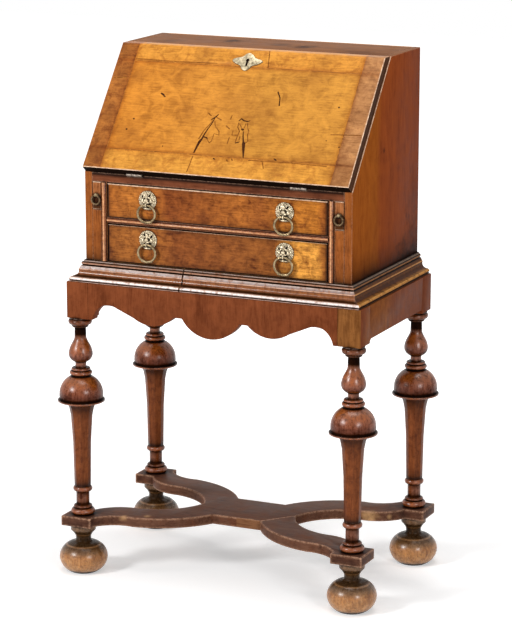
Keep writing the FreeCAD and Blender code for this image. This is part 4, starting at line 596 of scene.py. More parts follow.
FINISHES = {
    # figured walnut veneer under old wax: cloudy honey leaves, smoky patches, little shine
    "fall_field": ("figured_walnut_veneer", "figured_walnut", wood, dict(
        grain="X", figure=24, mottle=24, cloudy=0.8, spread=0.62, seed=2.1, gloss=(0.34, 0.46),
        wear=0.2, shine=0.12,
        paint=(banded(ACROSS, -0.24, 0.24, FIELD_LEAVES), FIELD_SMOKE, *LINE_SMUDGES),
    )),
    # crossbanded veneer: short streaks across the band, dark with handling
    "fall_left": ("walnut_crossband_left", "figured_walnut", wood, dict(
        grain="X", figure=12, mottle=16, cloudy=0.7, spread=0.9, seed=3.3, shine=0.12,
        paint=(blotches(22, 0.75, "#6a3312", 0.4), CORNER_SMOKE, *LINE_SMUDGES),
    )),
    # crossbanded veneer where it is paler and greyer
    "fall_right": ("walnut_crossband_right", "figured_walnut", wood, dict(
        grain="X", figure=12, mottle=18, cloudy=0.7, spread=0.8, seed=4.1, shine=0.12,
        paint=(blotches(24, 0.5, "#7a4424", 2.2), CORNER_SMOKE, *LINE_SMUDGES),
    )),
    # crossbanding with its grain up the slope: golden and evenly clouded
    "fall_top": ("walnut_crossband_top", "figured_walnut", wood, dict(
        grain="U", figure=14, mottle=20, cloudy=0.7, spread=0.65, seed=5.7, shine=0.12,
        paint=(blotches(22, 0.5, "#8a4a1a", 3.4), CORNER_SMOKE, *LINE_SMUDGES),
    )),
    # crossbanding at the foot: golden with brown thumb marks
    "fall_bottom": ("walnut_crossband_bottom", "figured_walnut", wood, dict(
        grain="U", figure=14, mottle=20, cloudy=0.7, spread=0.7, seed=6.2, shine=0.12,
        paint=(blotches(22, 0.5, "#96541c", 5.1), CORNER_SMOKE, *LINE_SMUDGES),
    )),
    # solid walnut that was never polished: dark and dull
    "fall_edge": ("walnut_fall_edge", "figured_walnut", wood, dict(
        grain="X", figure=9, spread=0.8, wear=0.5, shine=0.03, gloss=(0.4, 0.5),
    )),
    # plain walnut with its grain across: long quiet streaks
    "fall_inside": ("plain_walnut_writing_face", "figured_walnut", wood, dict(
        grain="X", figure=18, mottle=60, cloudy=0.3, spread=0.7, seed=13.0, shine=0.06,
        gloss=(0.4, 0.5),
    )),
    # thin dark line of stained wood: broken where it has faded
    "stringing": ("dark_stringing", "figured_walnut", wood, dict(
        grain="X", figure=6, mottle=9, spread=1.0, wear=0.0, seed=1.7, shine=0.12,
        paint=(blotches(16, 0.9, "#c08034", 0.7),),
    )),
    # scratches packed with old wax: near black and dull
    "old_marks": ("blackened_scratches", "figured_walnut", wood, dict(
        grain="X", figure=6, mottle=8, spread=0.9, wear=0.0, grime_and_shade=0.0, shine=0.05,
    )),
    # shallow scratches: brown and broken
    "faint_marks": ("brown_scratches", "figured_walnut", wood, dict(
        grain="X", figure=6, mottle=6, spread=1.0, wear=0.0, grime_and_shade=0.0, shine=0.05,
        paint=(blotches(9, 0.6, "#b87a32", 1.9),),
    )),
    # painted shade: black and dull, on faces that sit in shadow, such as the roundings round the drawers
    # and lopers, the sides of the beads, the fall's foot, the keyhole and the masks' hollows
    "joint": ("blackened_wax_in_joints", "walnut", wood, dict(
        grain="X", figure=9, spread=0.5, wear=0.0, shine=0.02, gloss=(0.5, 0.7),
    )),
    # bare wood on rubbed arrises, and painted highlight along the arrises that face the light: pale, dry,
    # broken lines
    "rubbed": ("bare_rubbed_arris", "walnut", wood, dict(
        grain="X", figure=6, mottle=9, cloudy=0.8, spread=0.9, wear=0.0, grime_and_shade=0.0, shine=0.1,
        seed=6.9,
        paint=(blotches(12, 0.55, "#7a4428", 4.2),),
    )),
    # figured veneer: light and dark leaves, with black painted shade at its ends and painted shade along
    # its borders
    "upper_drawer": ("walnut_drawer_veneer_upper", "figured_walnut", wood, dict(
        grain="X", figure=18, mottle=18, cloudy=0.8, spread=1.1, seed=7.9, wear=0.3, shine=0.1,
        paint=(
            banded(ACROSS, -DRAWER_HALF, DRAWER_HALF, UPPER_LEAVES, fineness=17.0),
            blotches(30, 0.45, "#6a3214", 7.7), UPPER_BORDER_SHADE, DRAWER_END_SHADE,
        ),
    )),
    # figured veneer: darker leaves, a bright one at the right, black painted shade at its ends and painted
    # shade along its borders
    "lower_drawer": ("walnut_drawer_veneer_lower", "figured_walnut", wood, dict(
        grain="X", figure=18, mottle=18, cloudy=0.8, spread=1.1, seed=9.4, wear=0.3, shine=0.1,
        paint=(
            banded(ACROSS, -DRAWER_HALF, DRAWER_HALF, LOWER_LEAVES, fineness=21.0),
            blotches(30, 0.45, "#5e2c14", 8.8), LOWER_BORDER_SHADE, DRAWER_END_SHADE,
        ),
    )),
    # straight-grained planks: long upright streaks, redder to the back and darker at the foot
    "side": ("polished_walnut_side", "walnut", wood, dict(
        grain="Z", figure=20, mottle=50, spread=0.5, seed=1.0, shine=0.006, wear=0.8,
        paint=(banded(INWARD, -0.15, 0.18, SIDE_PLANKS, 0.02), SIDE_DARK_PATCHES, SIDE_FOOT),
    )),
    # sun-faded walnut: greyish brown with ink-dark blots
    "top": ("faded_walnut_top", "walnut", wood, dict(
        grain="X", figure=16, mottle=40, spread=0.7, seed=8.3, shine=0.008, gloss=(0.4, 0.55),
        paint=(TOP_BLOTS,),
    )),
    # plain walnut: brown, and black in the fall's shade
    "rail": ("walnut_rail", "walnut", wood, dict(
        grain="X", figure=10, spread=0.8, seed=2.6, shine=0.06,
        paint=(RAIL_BLOTS, RAIL_TONES),
    )),
    # upright walnut: short streaks, darker at the foot
    "stile": ("walnut_stile", "walnut", wood, dict(
        grain="Z", figure=8, mottle=26, spread=0.9, seed=3.9, shine=0.06,
        paint=(CASE_FOOT,),
    )),
    # end of a loper: pale above, darker lower down
    "loper": ("walnut_loper", "walnut", wood, dict(
        grain="Z", figure=8, mottle=14, spread=0.9, seed=5.5, shine=0.06,
        paint=(LOPER_TONES,),
    )),
    # crest of a bead, rubbed bare and painted with its highlight: pale and smooth
    "rubbed_bead": ("rubbed_bead_crest", "walnut", wood, dict(
        grain="Y", figure=8, mottle=9, spread=0.8, wear=0.0, grime_and_shade=0.0, gloss=(0.25, 0.35), shine=0.12,
        seed=3.4,
        paint=(blotches(9, 0.6, "#a05c30", 7.2),),
    )),
    # polished half-round: small bright lights, painted shade along both sides
    "bead": ("walnut_bead", "walnut", wood, dict(
        grain="Y", figure=8, mottle=9, spread=1.0, wear=0.2, hollow=3, gloss=(0.2, 0.3), shine=0.4,
        seed=4.4,
        paint=(blotches(9, 0.7, "#46200f", 2.8),),
    )),
    # cross-grain walnut, high polish, the lit copy for the front: painted highlights on its crests, painted
    # shade in its hollows
    "moulding": ("cross_grain_walnut_moulding", "walnut", wood, dict(
        grain="Z", figure=9, mottle=14, spread=0.8, wear=0.1, grime_and_shade=1.0, hollow=3, gloss=(0.16, 0.26),
        shine=0.3, seed=5.2,
        paint=(blotches(8, 0.5, "#4a2410", 6.1), MOULDING_SHADE_AND_HIGHLIGHTS, FRONT_PAINTED_HIGHLIGHTS),
    )),
    # the same moulding away from the light: golden crests, hardly any shine
    "shaded_return_moulding": ("cross_grain_walnut_return", "walnut", wood, dict(
        grain="Z", figure=9, mottle=12, spread=0.9, wear=0.1, grime_and_shade=1.0, hollow=3, gloss=(0.3, 0.4),
        shine=0.03, seed=5.9,
        paint=(blotches(8, 0.6, "#32170b", 2.3), MOULDING_SHADE_AND_HIGHLIGHTS, RETURN_PAINTED_SHADE),
    )),
    # upright walnut veneer: soft streaks, dull red-brown
    "apron": ("walnut_apron", "walnut", wood, dict(
        grain="Z", figure=22, mottle=30, spread=0.65, seed=6.6, gloss=(0.36, 0.5), shine=0.02,
        wear=0.0,
        paint=(banded(INWARD, -0.16, 0.18, APRON_FADE, 0.05), blotches(34, 0.3, "#5a2a18", 1.1)),
    )),
    # corner post: paler and yellower than the apron
    "post": ("walnut_corner_post", "walnut", wood, dict(
        grain="Z", figure=9, mottle=30, spread=0.8, seed=3.1, gloss=(0.36, 0.5), shine=0.03, wear=0.0,
    )),
    # turned walnut: mottled and polished, with painted highlights on its rounds and painted shade in its
    # hollows
    "leg": ("turned_walnut", "walnut", wood, dict(
        grain="Z", figure=9, mottle=16, spread=1.0, wear=0.1, grime_and_shade=1.0, hollow=6, gloss=(0.24, 0.36),
        shine=0.7, seed=7.1,
        paint=(blotches(13, 0.6, "#3a190c", 5.3), LEG_BASE_SHADE_AND_HIGHLIGHTS, LEG_CUP_SHADE_AND_HIGHLIGHTS, LEG_PEAR_SHADE_AND_HIGHLIGHTS),
    )),
    # flats cut with a plane: plain, with a dull polish, and painted shade at the shaft's foot and under the
    # cup
    "shaft": ("cut_walnut_shaft", "walnut", wood, dict(
        grain="Z", figure=9, mottle=20, spread=0.8, wear=0.15, grime_and_shade=1.0, gloss=(0.3, 0.4), shine=0.1,
        seed=7.1,
        paint=(LEG_BASE_SHADE_AND_HIGHLIGHTS, LEG_CUP_SHADE_AND_HIGHLIGHTS, blotches(11, 0.45, "#3a1a10", 9.2)),
    )),
    # scuffed walnut: greyish, its edges rubbed bare
    "stretcher": ("rubbed_walnut_stretcher", "walnut", wood, dict(
        grain="X", figure=12, mottle=26, spread=0.85, wear=0.9, reach=5, gloss=(0.4, 0.55), shine=0.08,
        seed=8.8,
        paint=(blotches(40, 0.4, "#6e3a1e", 3.0), PAD_DARKENING, CHIPS),
    )),
    # later walnut: cleaner and lighter
    "patch": ("new_walnut_patch", "walnut", wood, dict(
        grain="X", figure=10, spread=0.8, wear=0.6, shine=0.08, seed=9.9,
    )),
    # walnut knocked pale all over: shiny where polish is left, with painted shade at its neck under the pad
    # and where it meets the floor
    "foot": ("scuffed_walnut_foot", "walnut", wood, dict(
        grain="Z", figure=10, mottle=16, spread=0.8, wear=0.1, grime_and_shade=1.0, gloss=(0.22, 0.32),
        shine=0.52, seed=10.3,
        paint=(blotches(11, 0.45, "#d0a578", 1.3), blotches(6, 0.5, "#5c341c", 4.7), FOOT_TONES_AND_SHADE),
    )),
    # dry unpolished oak: dull tan with fine streaks
    "oak": ("dry_oak_boards", "oak", wood, dict(
        grain="X", figure=14, mottle=60, spread=0.6, wear=0.2, gloss=(0.5, 0.7), shine=0.02, seed=11.0,
    )),
    # the same oak with its grain from front to back
    "oak_deep": ("oak_quarter_grain", "oak", wood, dict(
        grain="Y", figure=14, mottle=60, spread=0.6, wear=0.2, gloss=(0.5, 0.7), shine=0.02, seed=12.0,
    )),
    # cast brass: pale high spots, brown hollows
    "brass": ("aged_brass", "brass", brass, dict(gloss=(0.26, 0.42))),
    # flat cut brass: browner and smoother
    "plate": ("brown_patinated_brass", "brass", brass, dict(gloss=(0.32, 0.48))),
    # brass darkened by hands: brown with soft lights
    "dark_brass": ("darkened_brass", "brass", brass, dict(gloss=(0.24, 0.4))),
    # brass nearly brown from smoke and wax
    "smoked_brass": ("smoked_brass", "brass", brass, dict(gloss=(0.28, 0.42))),
    # worn brass: grey and dull
    "hinge": ("worn_hinge_brass", "brass", brass, dict(gloss=(0.35, 0.5), grime_and_shade=0.7)),
    # old steel: dull grey with brown corners
    "steel": ("dull_steel", "steel", brass, dict(gloss=(0.35, 0.55))),
}


# Modelling

# faces are told apart by their normals, whose parts along X, Y and Z run from -1 to 1

# turns that count as sharp and as flat
SHARP = math.radians(32)
FLAT = math.radians(0.5)
# rounding of arrises that have no size of their own
BEAD_ARRIS = 0.4 * MM
METAL_ARRIS = 0.3 * MM
LINING_ARRIS = 0.8 * MM


def deselect():
    bpy.ops.object.select_all(action="DESELECT")


def only(piece):
    deselect()
    piece.select_set(True)
    bpy.context.view_layer.objects.active = piece


def edit(piece):
    """Opens a piece in edit mode with all of it selected."""
    only(piece)
    bpy.ops.object.mode_set(mode="EDIT")
    bpy.ops.mesh.select_mode(type="VERT")
    bpy.ops.mesh.select_all(action="SELECT")


def leave():
    bpy.ops.object.mode_set(mode="OBJECT")


def pick_edges(piece, test):
    """Selects the edges of a piece in edit mode that pass a test, and nothing else."""
    bpy.ops.mesh.select_mode(type="EDGE")
    bpy.ops.mesh.select_all(action="DESELECT")
    mesh = bmesh.from_edit_mesh(piece.data)
    found = [line for line in mesh.edges if test(line)]
    if not found:
        raise RuntimeError(f"no edges picked on {piece.name}")
    for line in found:
        line.select = True
    mesh.select_flush_mode()
    bmesh.update_edit_mesh(piece.data)


def apply_all(piece):
    only(piece)
    for modifier in list(piece.modifiers):
        bpy.ops.object.modifier_apply(modifier=modifier.name)


def make_whole():
    """Merges doubled points and makes flat faces whole on the piece in edit mode."""
    bpy.ops.mesh.remove_doubles(threshold=MERGE)
    bpy.ops.mesh.dissolve_limited(angle_limit=FLAT)


def face_outward():
    """Turns every face of the piece in edit mode outward."""
    bpy.ops.mesh.select_all(action="SELECT")
    bpy.ops.mesh.normals_make_consistent(inside=False)


def soften(piece, arris, segments=2):
    """Rounds every sharp arris and smooths the rest."""
    bevel = piece.modifiers.new("arris", "BEVEL")
    bevel.width = arris
    bevel.segments = segments
    bevel.limit_method = "ANGLE"
    bevel.angle_limit = SHARP
    apply_all(piece)
    bpy.ops.object.shade_smooth_by_angle(angle=SHARP)


def copy_of(node, name):
    """A merged copy of a CAD node, its flat faces made whole."""
    piece = bpy.data.objects.new(name, frame["nodes"][node].data.copy())
    piece.data.materials.clear()
    bpy.context.scene.collection.objects.link(piece)
    edit(piece)
    bpy.ops.mesh.customdata_custom_splitnormals_clear()
    make_whole()
    leave()
    return piece


def fit(piece, finish_name, *nodes, body=None):
    """Gives a piece its finish and its body, and hides the nodes that it stands for."""
    if finish_name:
        piece.data.materials.clear()
        piece.data.materials.append(finish(finish_name))
    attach(piece, body or frame["nodes"][nodes[0]]["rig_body"])
    if nodes:
        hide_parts(*nodes)
    return piece


def also(piece, finish_name, test):
    """Gives the faces of a piece that pass a test a second finish."""
    piece.data.materials.append(finish(finish_name))
    for face in piece.data.polygons:
        if test(face):
            face.material_index = len(piece.data.materials) - 1


def dress(node, finish_name, arris=None):
    """A board of the frame with its arrises rounded and its finish on."""
    piece = copy_of(node, node + "_finished")
    soften(piece, arris or bpy.context.scene.bureau_sizes.arris)
    return fit(piece, finish_name, node)


def dress_front(node, finish_name, arris):
    """A board with only the edges round its front face rounded, clear of the holes in it."""
    piece = copy_of(node, node + "_finished")
    low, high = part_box(node)

    def on_border(vertex):
        x, y, z = vertex.co
        return y - low.y < MERGE and min(x - low.x, high.x - x, z - low.z, high.z - z) < MERGE

    edit(piece)
    pick_edges(piece, lambda line: all(on_border(vertex) for vertex in line.verts))
    bpy.ops.mesh.bevel(offset=arris, segments=3, affect="EDGES", clamp_overlap=False)
    leave()
    bpy.ops.object.shade_smooth_by_angle(angle=SHARP)
    return fit(piece, finish_name, node)


def on_rounding(face):
    """Whether a face is on the rounding round a front, between its flat and its sides."""
    return -0.97 < face.normal.y < -0.1


def joined(name, pieces):
    deselect()
    for piece in pieces:
        piece.select_set(True)
    bpy.context.view_layer.objects.active = pieces[0]
    bpy.ops.object.join()
    pieces[0].name = name
    return pieces[0]


def ball(centre, radii, turn=(0, 0, 0), segments=24):
    """An ellipsoid, with its place, turn and size in its mesh."""
    deselect()
    bpy.ops.mesh.primitive_uv_sphere_add(segments=segments, ring_count=segments * 2 // 3, radius=1)
    piece = bpy.context.object
    about_x, about_y, about_z = (Matrix.Rotation(angle, 4, axis) for angle, axis in zip(turn, "XYZ"))
    spin = about_z @ about_y @ about_x
    piece.data.transform(Matrix.Translation(centre) @ spin @ Matrix.Diagonal((*radii, 1)))
    return piece


def bar(centre, radius, length, axis, vertices=32):
    """A rod along X, Y or Z with its place in its mesh."""
    deselect()
    bpy.ops.mesh.primitive_cylinder_add(vertices=vertices, radius=radius, depth=length)
    piece = bpy.context.object
    turn = {
        "X": Matrix.Rotation(math.pi / 2, 4, "Y"),
        "Y": Matrix.Rotation(math.pi / 2, 4, "X"),
        "Z": Matrix(),
    }[axis]
    piece.data.transform(Matrix.Translation(centre) @ turn)
    return piece


def block(low, high):
    """A block between two corners, with its place in its mesh."""
    deselect()
    bpy.ops.mesh.primitive_cube_add(size=1)
    piece = bpy.context.object
    low, high = Vector(low), Vector(high)
    piece.data.transform(Matrix.Translation((low + high) / 2) @ Matrix.Diagonal((*(high - low), 1)))
    return piece


def carve(piece, tool, operation="DIFFERENCE"):
    """Takes a tool out of a piece, or glues it on, and throws the tool away."""
    boolean = piece.modifiers.new("carve", "BOOLEAN")
    boolean.operation = operation
    boolean.solver = "EXACT"
    boolean.object = tool
    apply_all(piece)
    bpy.data.objects.remove(tool)


def drawn(points):
    """A new outline, extruded from point to point, all selected in edit mode."""
    deselect()
    bpy.ops.mesh.primitive_plane_add(size=MM)
    piece = bpy.context.object
    edit(piece)
    bpy.ops.mesh.merge(type="CENTER")
    bpy.ops.transform.translate(value=points[0])
    for start, end in zip(points, points[1:]):
        bpy.ops.mesh.extrude_region_move(TRANSFORM_OT_translate={"value": end - start})
    bpy.ops.mesh.select_all(action="SELECT")
    return piece


def lathe(name, outline, centre, toward, steps):
    """Spins a half outline of radii and heights round the axis that runs from a centre."""
    toward = Vector(toward).normalized()
    across = toward.orthogonal().normalized()
    piece = drawn([Vector(centre) + across * r + toward * h for r, h in outline])
    piece.name = name
    bpy.ops.mesh.spin(steps=steps, angle=2 * math.pi, center=centre, axis=toward)
    bpy.ops.mesh.select_all(action="SELECT")
    bpy.ops.mesh.remove_doubles(threshold=MERGE)
    face_outward()
    leave()
    return piece


# Sizes and colours

def length_size(name, description, default):
    return FloatProperty(name=name, description=description, default=default, min=0.0,
                         unit="LENGTH", precision=4)


def finish_colour(name, description, hex_colour):
    return FloatVectorProperty(name=name, description=description, subtype="COLOR", size=3,
                               min=0.0, max=1.0, default=linear(hex_colour)[:3])


class BureauSizes(bpy.types.PropertyGroup):
    """Small sizes of the finished pieces."""
    arris: length_size("Board arris", "Rounding of the boards' worn edges", 1.2 * MM)
    fall_edge: length_size("Fall edge", "Rounding round the outer face of the fall", 1.7 * MM)
    drawer_edge: length_size("Drawer edge", "Rounding round the face of a drawer", 2.2 * MM)
    loper_edge: length_size("Loper edge", "Rounding round the end of a loper", 1.8 * MM)
    stretcher_edge: length_size("Stretcher edge", "Rounding of the stretcher's rubbed edges", 2.0 * MM)
    string_width: length_size("Stringing", "Width of the dark line round the field", 1.3 * MM)
    mask_radius: length_size("Mask radius", "Radius of a mask pull", MASK_RADIUS * MM)
    ring_wire: length_size("Ring wire", "Radius of a pull ring's wire", 2.25 * MM)
    small_wire: length_size("Loper ring wire", "Radius of a loper ring's wire", 1.75 * MM)
    knop: length_size("Ring knop", "Radius of the bead at the bottom of a ring", 3.1 * MM)
    plate_edge: length_size("Escutcheon bevel", "Bevel round the escutcheon", 0.7 * MM)


class BureauColours(bpy.types.PropertyGroup):
    """Colours of the finishes."""
    fall_field: finish_colour("Fall field", "Figured veneer in the middle of the fall", "#be7e30")
    fall_left: finish_colour("Left crossband", "Crossbanding at the left of the fall", "#9c5e28")
    fall_right: finish_colour("Right crossband", "Crossbanding at the right of the fall", "#a87446")
    fall_top: finish_colour("Top crossband", "Crossbanding at the top of the fall", "#c88634")
    fall_bottom: finish_colour("Bottom crossband", "Crossbanding at the foot of the fall", "#ca8a36")
    fall_edge: finish_colour("Fall edge", "Solid edge round the fall", "#46260f")
    fall_inside: finish_colour("Writing face", "Plain walnut on the inside of the fall", "#8c5028")
    stringing: finish_colour("Stringing", "Dark line between field and crossbanding", "#84501f")
    old_marks: finish_colour("Old marks", "Scratches and splits filled with old wax", "#42220d")
    faint_marks: finish_colour("Faint marks", "Shallow scratches in the fall", "#744317")
    # painted shade: the black that faces in shadow are painted with
    joint: finish_colour("Joints", "Blackened wax in the joints", "#140a06")
    # wear and painted highlight on the arrises that face the light
    rubbed: finish_colour("Rubbed arrises", "Bare wood on the most rubbed arrises", "#e2bd9f")
    upper_drawer: finish_colour("Upper drawer", "Veneer of the upper drawer", "#a05c26")
    lower_drawer: finish_colour("Lower drawer", "Veneer of the lower drawer", "#985826")
    side: finish_colour("Case sides", "Sides of the case", "#964c1f")
    top: finish_colour("Case top", "Faded top of the case", "#7a5238")
    rail: finish_colour("Rails", "Rails of the front", "#744028")
    stile: finish_colour("Stiles", "Uprights of the front and sides of the lopers", "#945224")
    loper: finish_colour("Lopers", "Fronts of the lopers", "#96582c")
    # wear and painted highlight on the crests of the beads
    rubbed_bead: finish_colour("Bead crests", "Rubbed crests of the beads", "#dca274")
    bead: finish_colour("Beads", "Half-round beads round the drawers", "#96542a")
    # the front of the moulding is painted lit, and its returns below are painted as in shade
    moulding: finish_colour("Moulding", "Front of the moulding at the waist", "#8a5024")
    shaded_return_moulding: finish_colour("Returns", "Sides of the moulding at the waist", "#6a3c1a")
    apron: finish_colour("Aprons", "Front and side aprons", "#7a4024")
    post: finish_colour("Post", "Front of the right corner post", "#805028")
    leg: finish_colour("Legs", "Turned legs", "#803f14")
    shaft: finish_colour("Shafts", "Tapering shafts of the legs", "#7c4222")
    stretcher: finish_colour("Stretcher", "Flat stretcher", "#644232")
    patch: finish_colour("Patch", "Later patch in the stretcher", "#7e5438")
    foot: finish_colour("Feet", "Bun feet", "#ae7a4a")
    oak: finish_colour("Oak", "Back and inner boards of the case", "#b27d4e")
    oak_deep: finish_colour("Oak linings", "Linings that run from front to back", "#ab774a")
    brass: finish_colour("Brass", "Mask pulls and small knobs", "#b9ab90")
    plate: finish_colour("Plate", "Escutcheon of the fall", "#a89b80")
    dark_brass: finish_colour("Dark brass", "Pull rings and loper studs", "#8c7a5c")
    smoked_brass: finish_colour("Loper rings", "Small rings of the lopers", "#66533c")
    hinge: finish_colour("Hinges", "Hinges of the fall", "#7a6f66")
    steel: finish_colour("Steel", "Lock, bolt and staple", "#8a8781")
    wear: finish_colour("Wear", "Bare wood on rubbed arrises", "#d8a888")
    # dirt and painted shade: wood is darkened with this colour in its hollows and in the gaps between
    # pieces, brass in its hollows
    grime_and_shade: finish_colour("Grime", "Old wax and dirt in the hollows", "#140a07")


# Pieces

class BureauOperator:
    bl_options = {"REGISTER", "UNDO"}


class BUREAU_OT_case(BureauOperator, bpy.types.Operator):
    """Sides, top, back and inner boards of the case"""
    bl_idname = "bureau.case"
    bl_label = "Case"

    def execute(self, context):
        for node, finish_name in {
            "case_top": "top", "case_back": "oak", "case_bottom": "oak", "writing_bed": "oak",
            "hinge_rail": "rail", "drawer_divider": "rail", "drawer_runners": "oak_deep",
            "loper_partitions": "stile", "loper_guides": "stile",
        }.items():
            dress(node, finish_name)
        for side, sign in SIDES.items():
            board = dress("case_side_" + side, "side")
            also(board, "stile", lambda face: face.normal.y < -0.7 and face.normal.z < 0.3)
            also(board, "top", lambda face: face.normal.z > 0.9)
            # the slope's outer arris is pale as wear and as painted highlight
            also(board, "rubbed", lambda face: (
                sign * face.normal.x > 0.2 and face.normal.z > 0.2 and face.normal.y < -0.1))
        beads = dress("front_beads", "bead", BEAD_ARRIS)
        # the beads' steep sides take black painted shade, their crests a pale painted highlight over the
        # wear
        also(beads, "joint", lambda face: face.normal.y > -0.5)
        also(beads, "rubbed_bead", lambda face: face.normal.y < -0.94)
        return {"FINISHED"}


class BUREAU_OT_mouldings(BureauOperator, bpy.types.Operator):
    """Moulding round the waist, mitred at the corners and open at one joint"""
    bl_idname = "bureau.mouldings"
    bl_label = "Mouldings"

    # out from the case and up from the floor, in millimetres, from the top down: fillet, bead, quirk,
    # slope, arris, hollow, nose and lip
    PROFILE = [
        (-0.3, 609.5), (2.2, 609.5), (2.7, 609.0), (2.8, 607.6),
        (2.9, 607.2), (3.6, 607.1), (5.0, 606.6), (6.0, 605.6), (6.5, 604.3), (6.5, 602.9), (6.1, 601.6),
        (5.4, 600.8), (4.9, 600.5), (4.7, 600.0), (5.0, 599.5), (6.6, 599.3),
        (7.2, 598.8), (8.2, 597.0), (9.2, 594.8), (10.0, 593.2),
        (10.7, 592.9), (11.0, 592.4), (10.9, 591.8), (10.5, 591.4),
        (10.2, 589.5), (10.3, 587.5), (10.9, 585.4), (12.0, 583.4), (13.8, 581.6), (16.2, 580.3),
        (18.4, 579.7), (18.8, 579.5), (19.4, 579.6), (21.4, 579.2), (23.0, 578.2), (24.2, 576.8),
        (24.7, 575.2), (24.5, 573.8), (23.8, 572.9), (22.8, 572.5),
        (22.2, 572.3), (22.1, 571.9), (23.2, 571.7), (24.2, 571.6), (24.5, 571.2), (24.5, 570.4),
        (24.2, 570.0), (-0.3, 570.0),
    ]
    JOINT_X = -0.064
    JOINT_GAP = 3.0 * MM
    # how far lengths run beyond their mitres before they are trimmed
    SIDE_SPARE = 0.05
    FRONT_SPARE = 0.1
    SMOOTH_BELOW = 0.6

    def execute(self, context):
        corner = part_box("case_side_right")[1].x
        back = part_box("case_side_right")[1].y
        lengths = []
        for sign in SIDES.values():
            mitre = {"plane_co": (sign * corner, CASE_FRONT, 0), "plane_no": (sign, 1, 0)}
            run = self.length([(sign * (corner + out * MM), back, z * MM) for out, z in self.PROFILE],
                              (0, CASE_FRONT - back - self.SIDE_SPARE, 0))
            self.trim(run, mitre, clear_inner=True)
            lengths.append(run)
            run = self.length([(self.JOINT_X + sign * self.JOINT_GAP / 2, CASE_FRONT - out * MM, z * MM)
                               for out, z in self.PROFILE], (sign * (corner + self.FRONT_SPARE), 0, 0))
            self.trim(run, mitre, clear_outer=True)
            lengths.append(run)
        moulding = joined("waist_moulding", lengths)
        bpy.ops.object.shade_smooth_by_angle(angle=self.SMOOTH_BELOW)
        fit(moulding, "moulding", "case_moulding", "stand_moulding")
        # the returns take the copy painted as in shade
        also(moulding, "shaded_return_moulding", lambda face: abs(face.normal.x) > abs(face.normal.y) + MERGE)
        return {"FINISHED"}

    def length(self, points, along):
        """A straight length of moulding: its outline filled and drawn out."""
        piece = drawn([Vector(point) for point in points])
        bpy.ops.mesh.edge_face_add()
        bpy.ops.mesh.extrude_region_move(TRANSFORM_OT_translate={"value": along})
        face_outward()
        leave()
        return piece

    def trim(self, piece, plane, **clear):
        """Cuts a length off at its mitre."""
        edit(piece)
        bpy.ops.mesh.bisect(use_fill=True, **plane, **clear)
        face_outward()
        leave()


class BUREAU_OT_stand(BureauOperator, bpy.types.Operator):
    """Aprons, posts, legs, stretcher and feet"""
    bl_idname = "bureau.stand"
    bl_label = "Stand"

    # the patch's ends from left to right, and the shafts' ends above the floor
    PATCH = (0.0, 0.05)
    SHAFT = (0.17, 0.3305)
    # heights and radii of the pear above its belly, in millimetres
    SHOULDER = [
        (434, 22.2), (438, 21.4), (443, 19.6), (448, 17.0), (453, 14.2), (458, 11.9), (463, 10.9),
        (481, 10.7),
    ]
    LEG_ARRIS = 0.7 * MM
    FOOT_ARRIS = 0.8 * MM

    def execute(self, context):
        for node in ("apron_front", "side_aprons"):
            dress(node, "apron")
        posts = dress("corner_posts", "apron")
        also(posts, "post", lambda face: face.center.x > 0 and face.center.y < 0 and face.normal.y < -0.3)
        for node in ("apron_back", "case_bearers"):
            dress(node, "oak")
        for spot in ("front_left", "front_right", "back_left", "back_right"):
            leg = dress("leg_" + spot, "leg", self.LEG_ARRIS)
            self.draw_in(leg)
            also(leg, "shaft", lambda face: self.SHAFT[0] < face.center.z < self.SHAFT[1])
        dress("bun_feet", "foot", self.FOOT_ARRIS)
        self.stretcher(context.scene.bureau_sizes.stretcher_edge)
        return {"FINISHED"}

    def draw_in(self, leg):
        """Draws the shoulder of the pear in to its neck."""
        middle = sum((Vector(corner) for corner in leg.bound_box), Vector()) / 8
        for vertex in leg.data.vertices:
            z = vertex.co.z / MM
            for (low, wide), (high, thin) in zip(self.SHOULDER, self.SHOULDER[1:]):
                if low < z <= high - MERGE / MM:
                    radius = (wide + (thin - wide) * (z - low) / (high - low)) * MM
                    out = vertex.co.xy - middle.xy
                    if out.length > radius / 2:
                        vertex.co.xy = middle.xy + out.normalized() * radius

    def stretcher(self, edge):
        """The stretcher as one flat board, its edges rubbed, with a later patch let into its front."""
        board = copy_of("stretcher_centre", "stretcher_board")
        carve(board, copy_of("stretcher_arms", "stretcher_arms_glued"), "UNION")
        edit(board)
        make_whole()
        leave()
        soften(board, edge, 3)
        edit(board)
        for place in self.PATCH:
            bpy.ops.mesh.select_all(action="SELECT")
            bpy.ops.mesh.bisect(plane_co=(place, 0, 0), plane_no=(1, 0, 0))
        leave()
        fit(board, "stretcher", "stretcher_centre", "stretcher_arms")
        also(board, "patch", lambda face: (
            self.PATCH[0] < face.center.x < self.PATCH[1] and face.normal.y < -0.5))


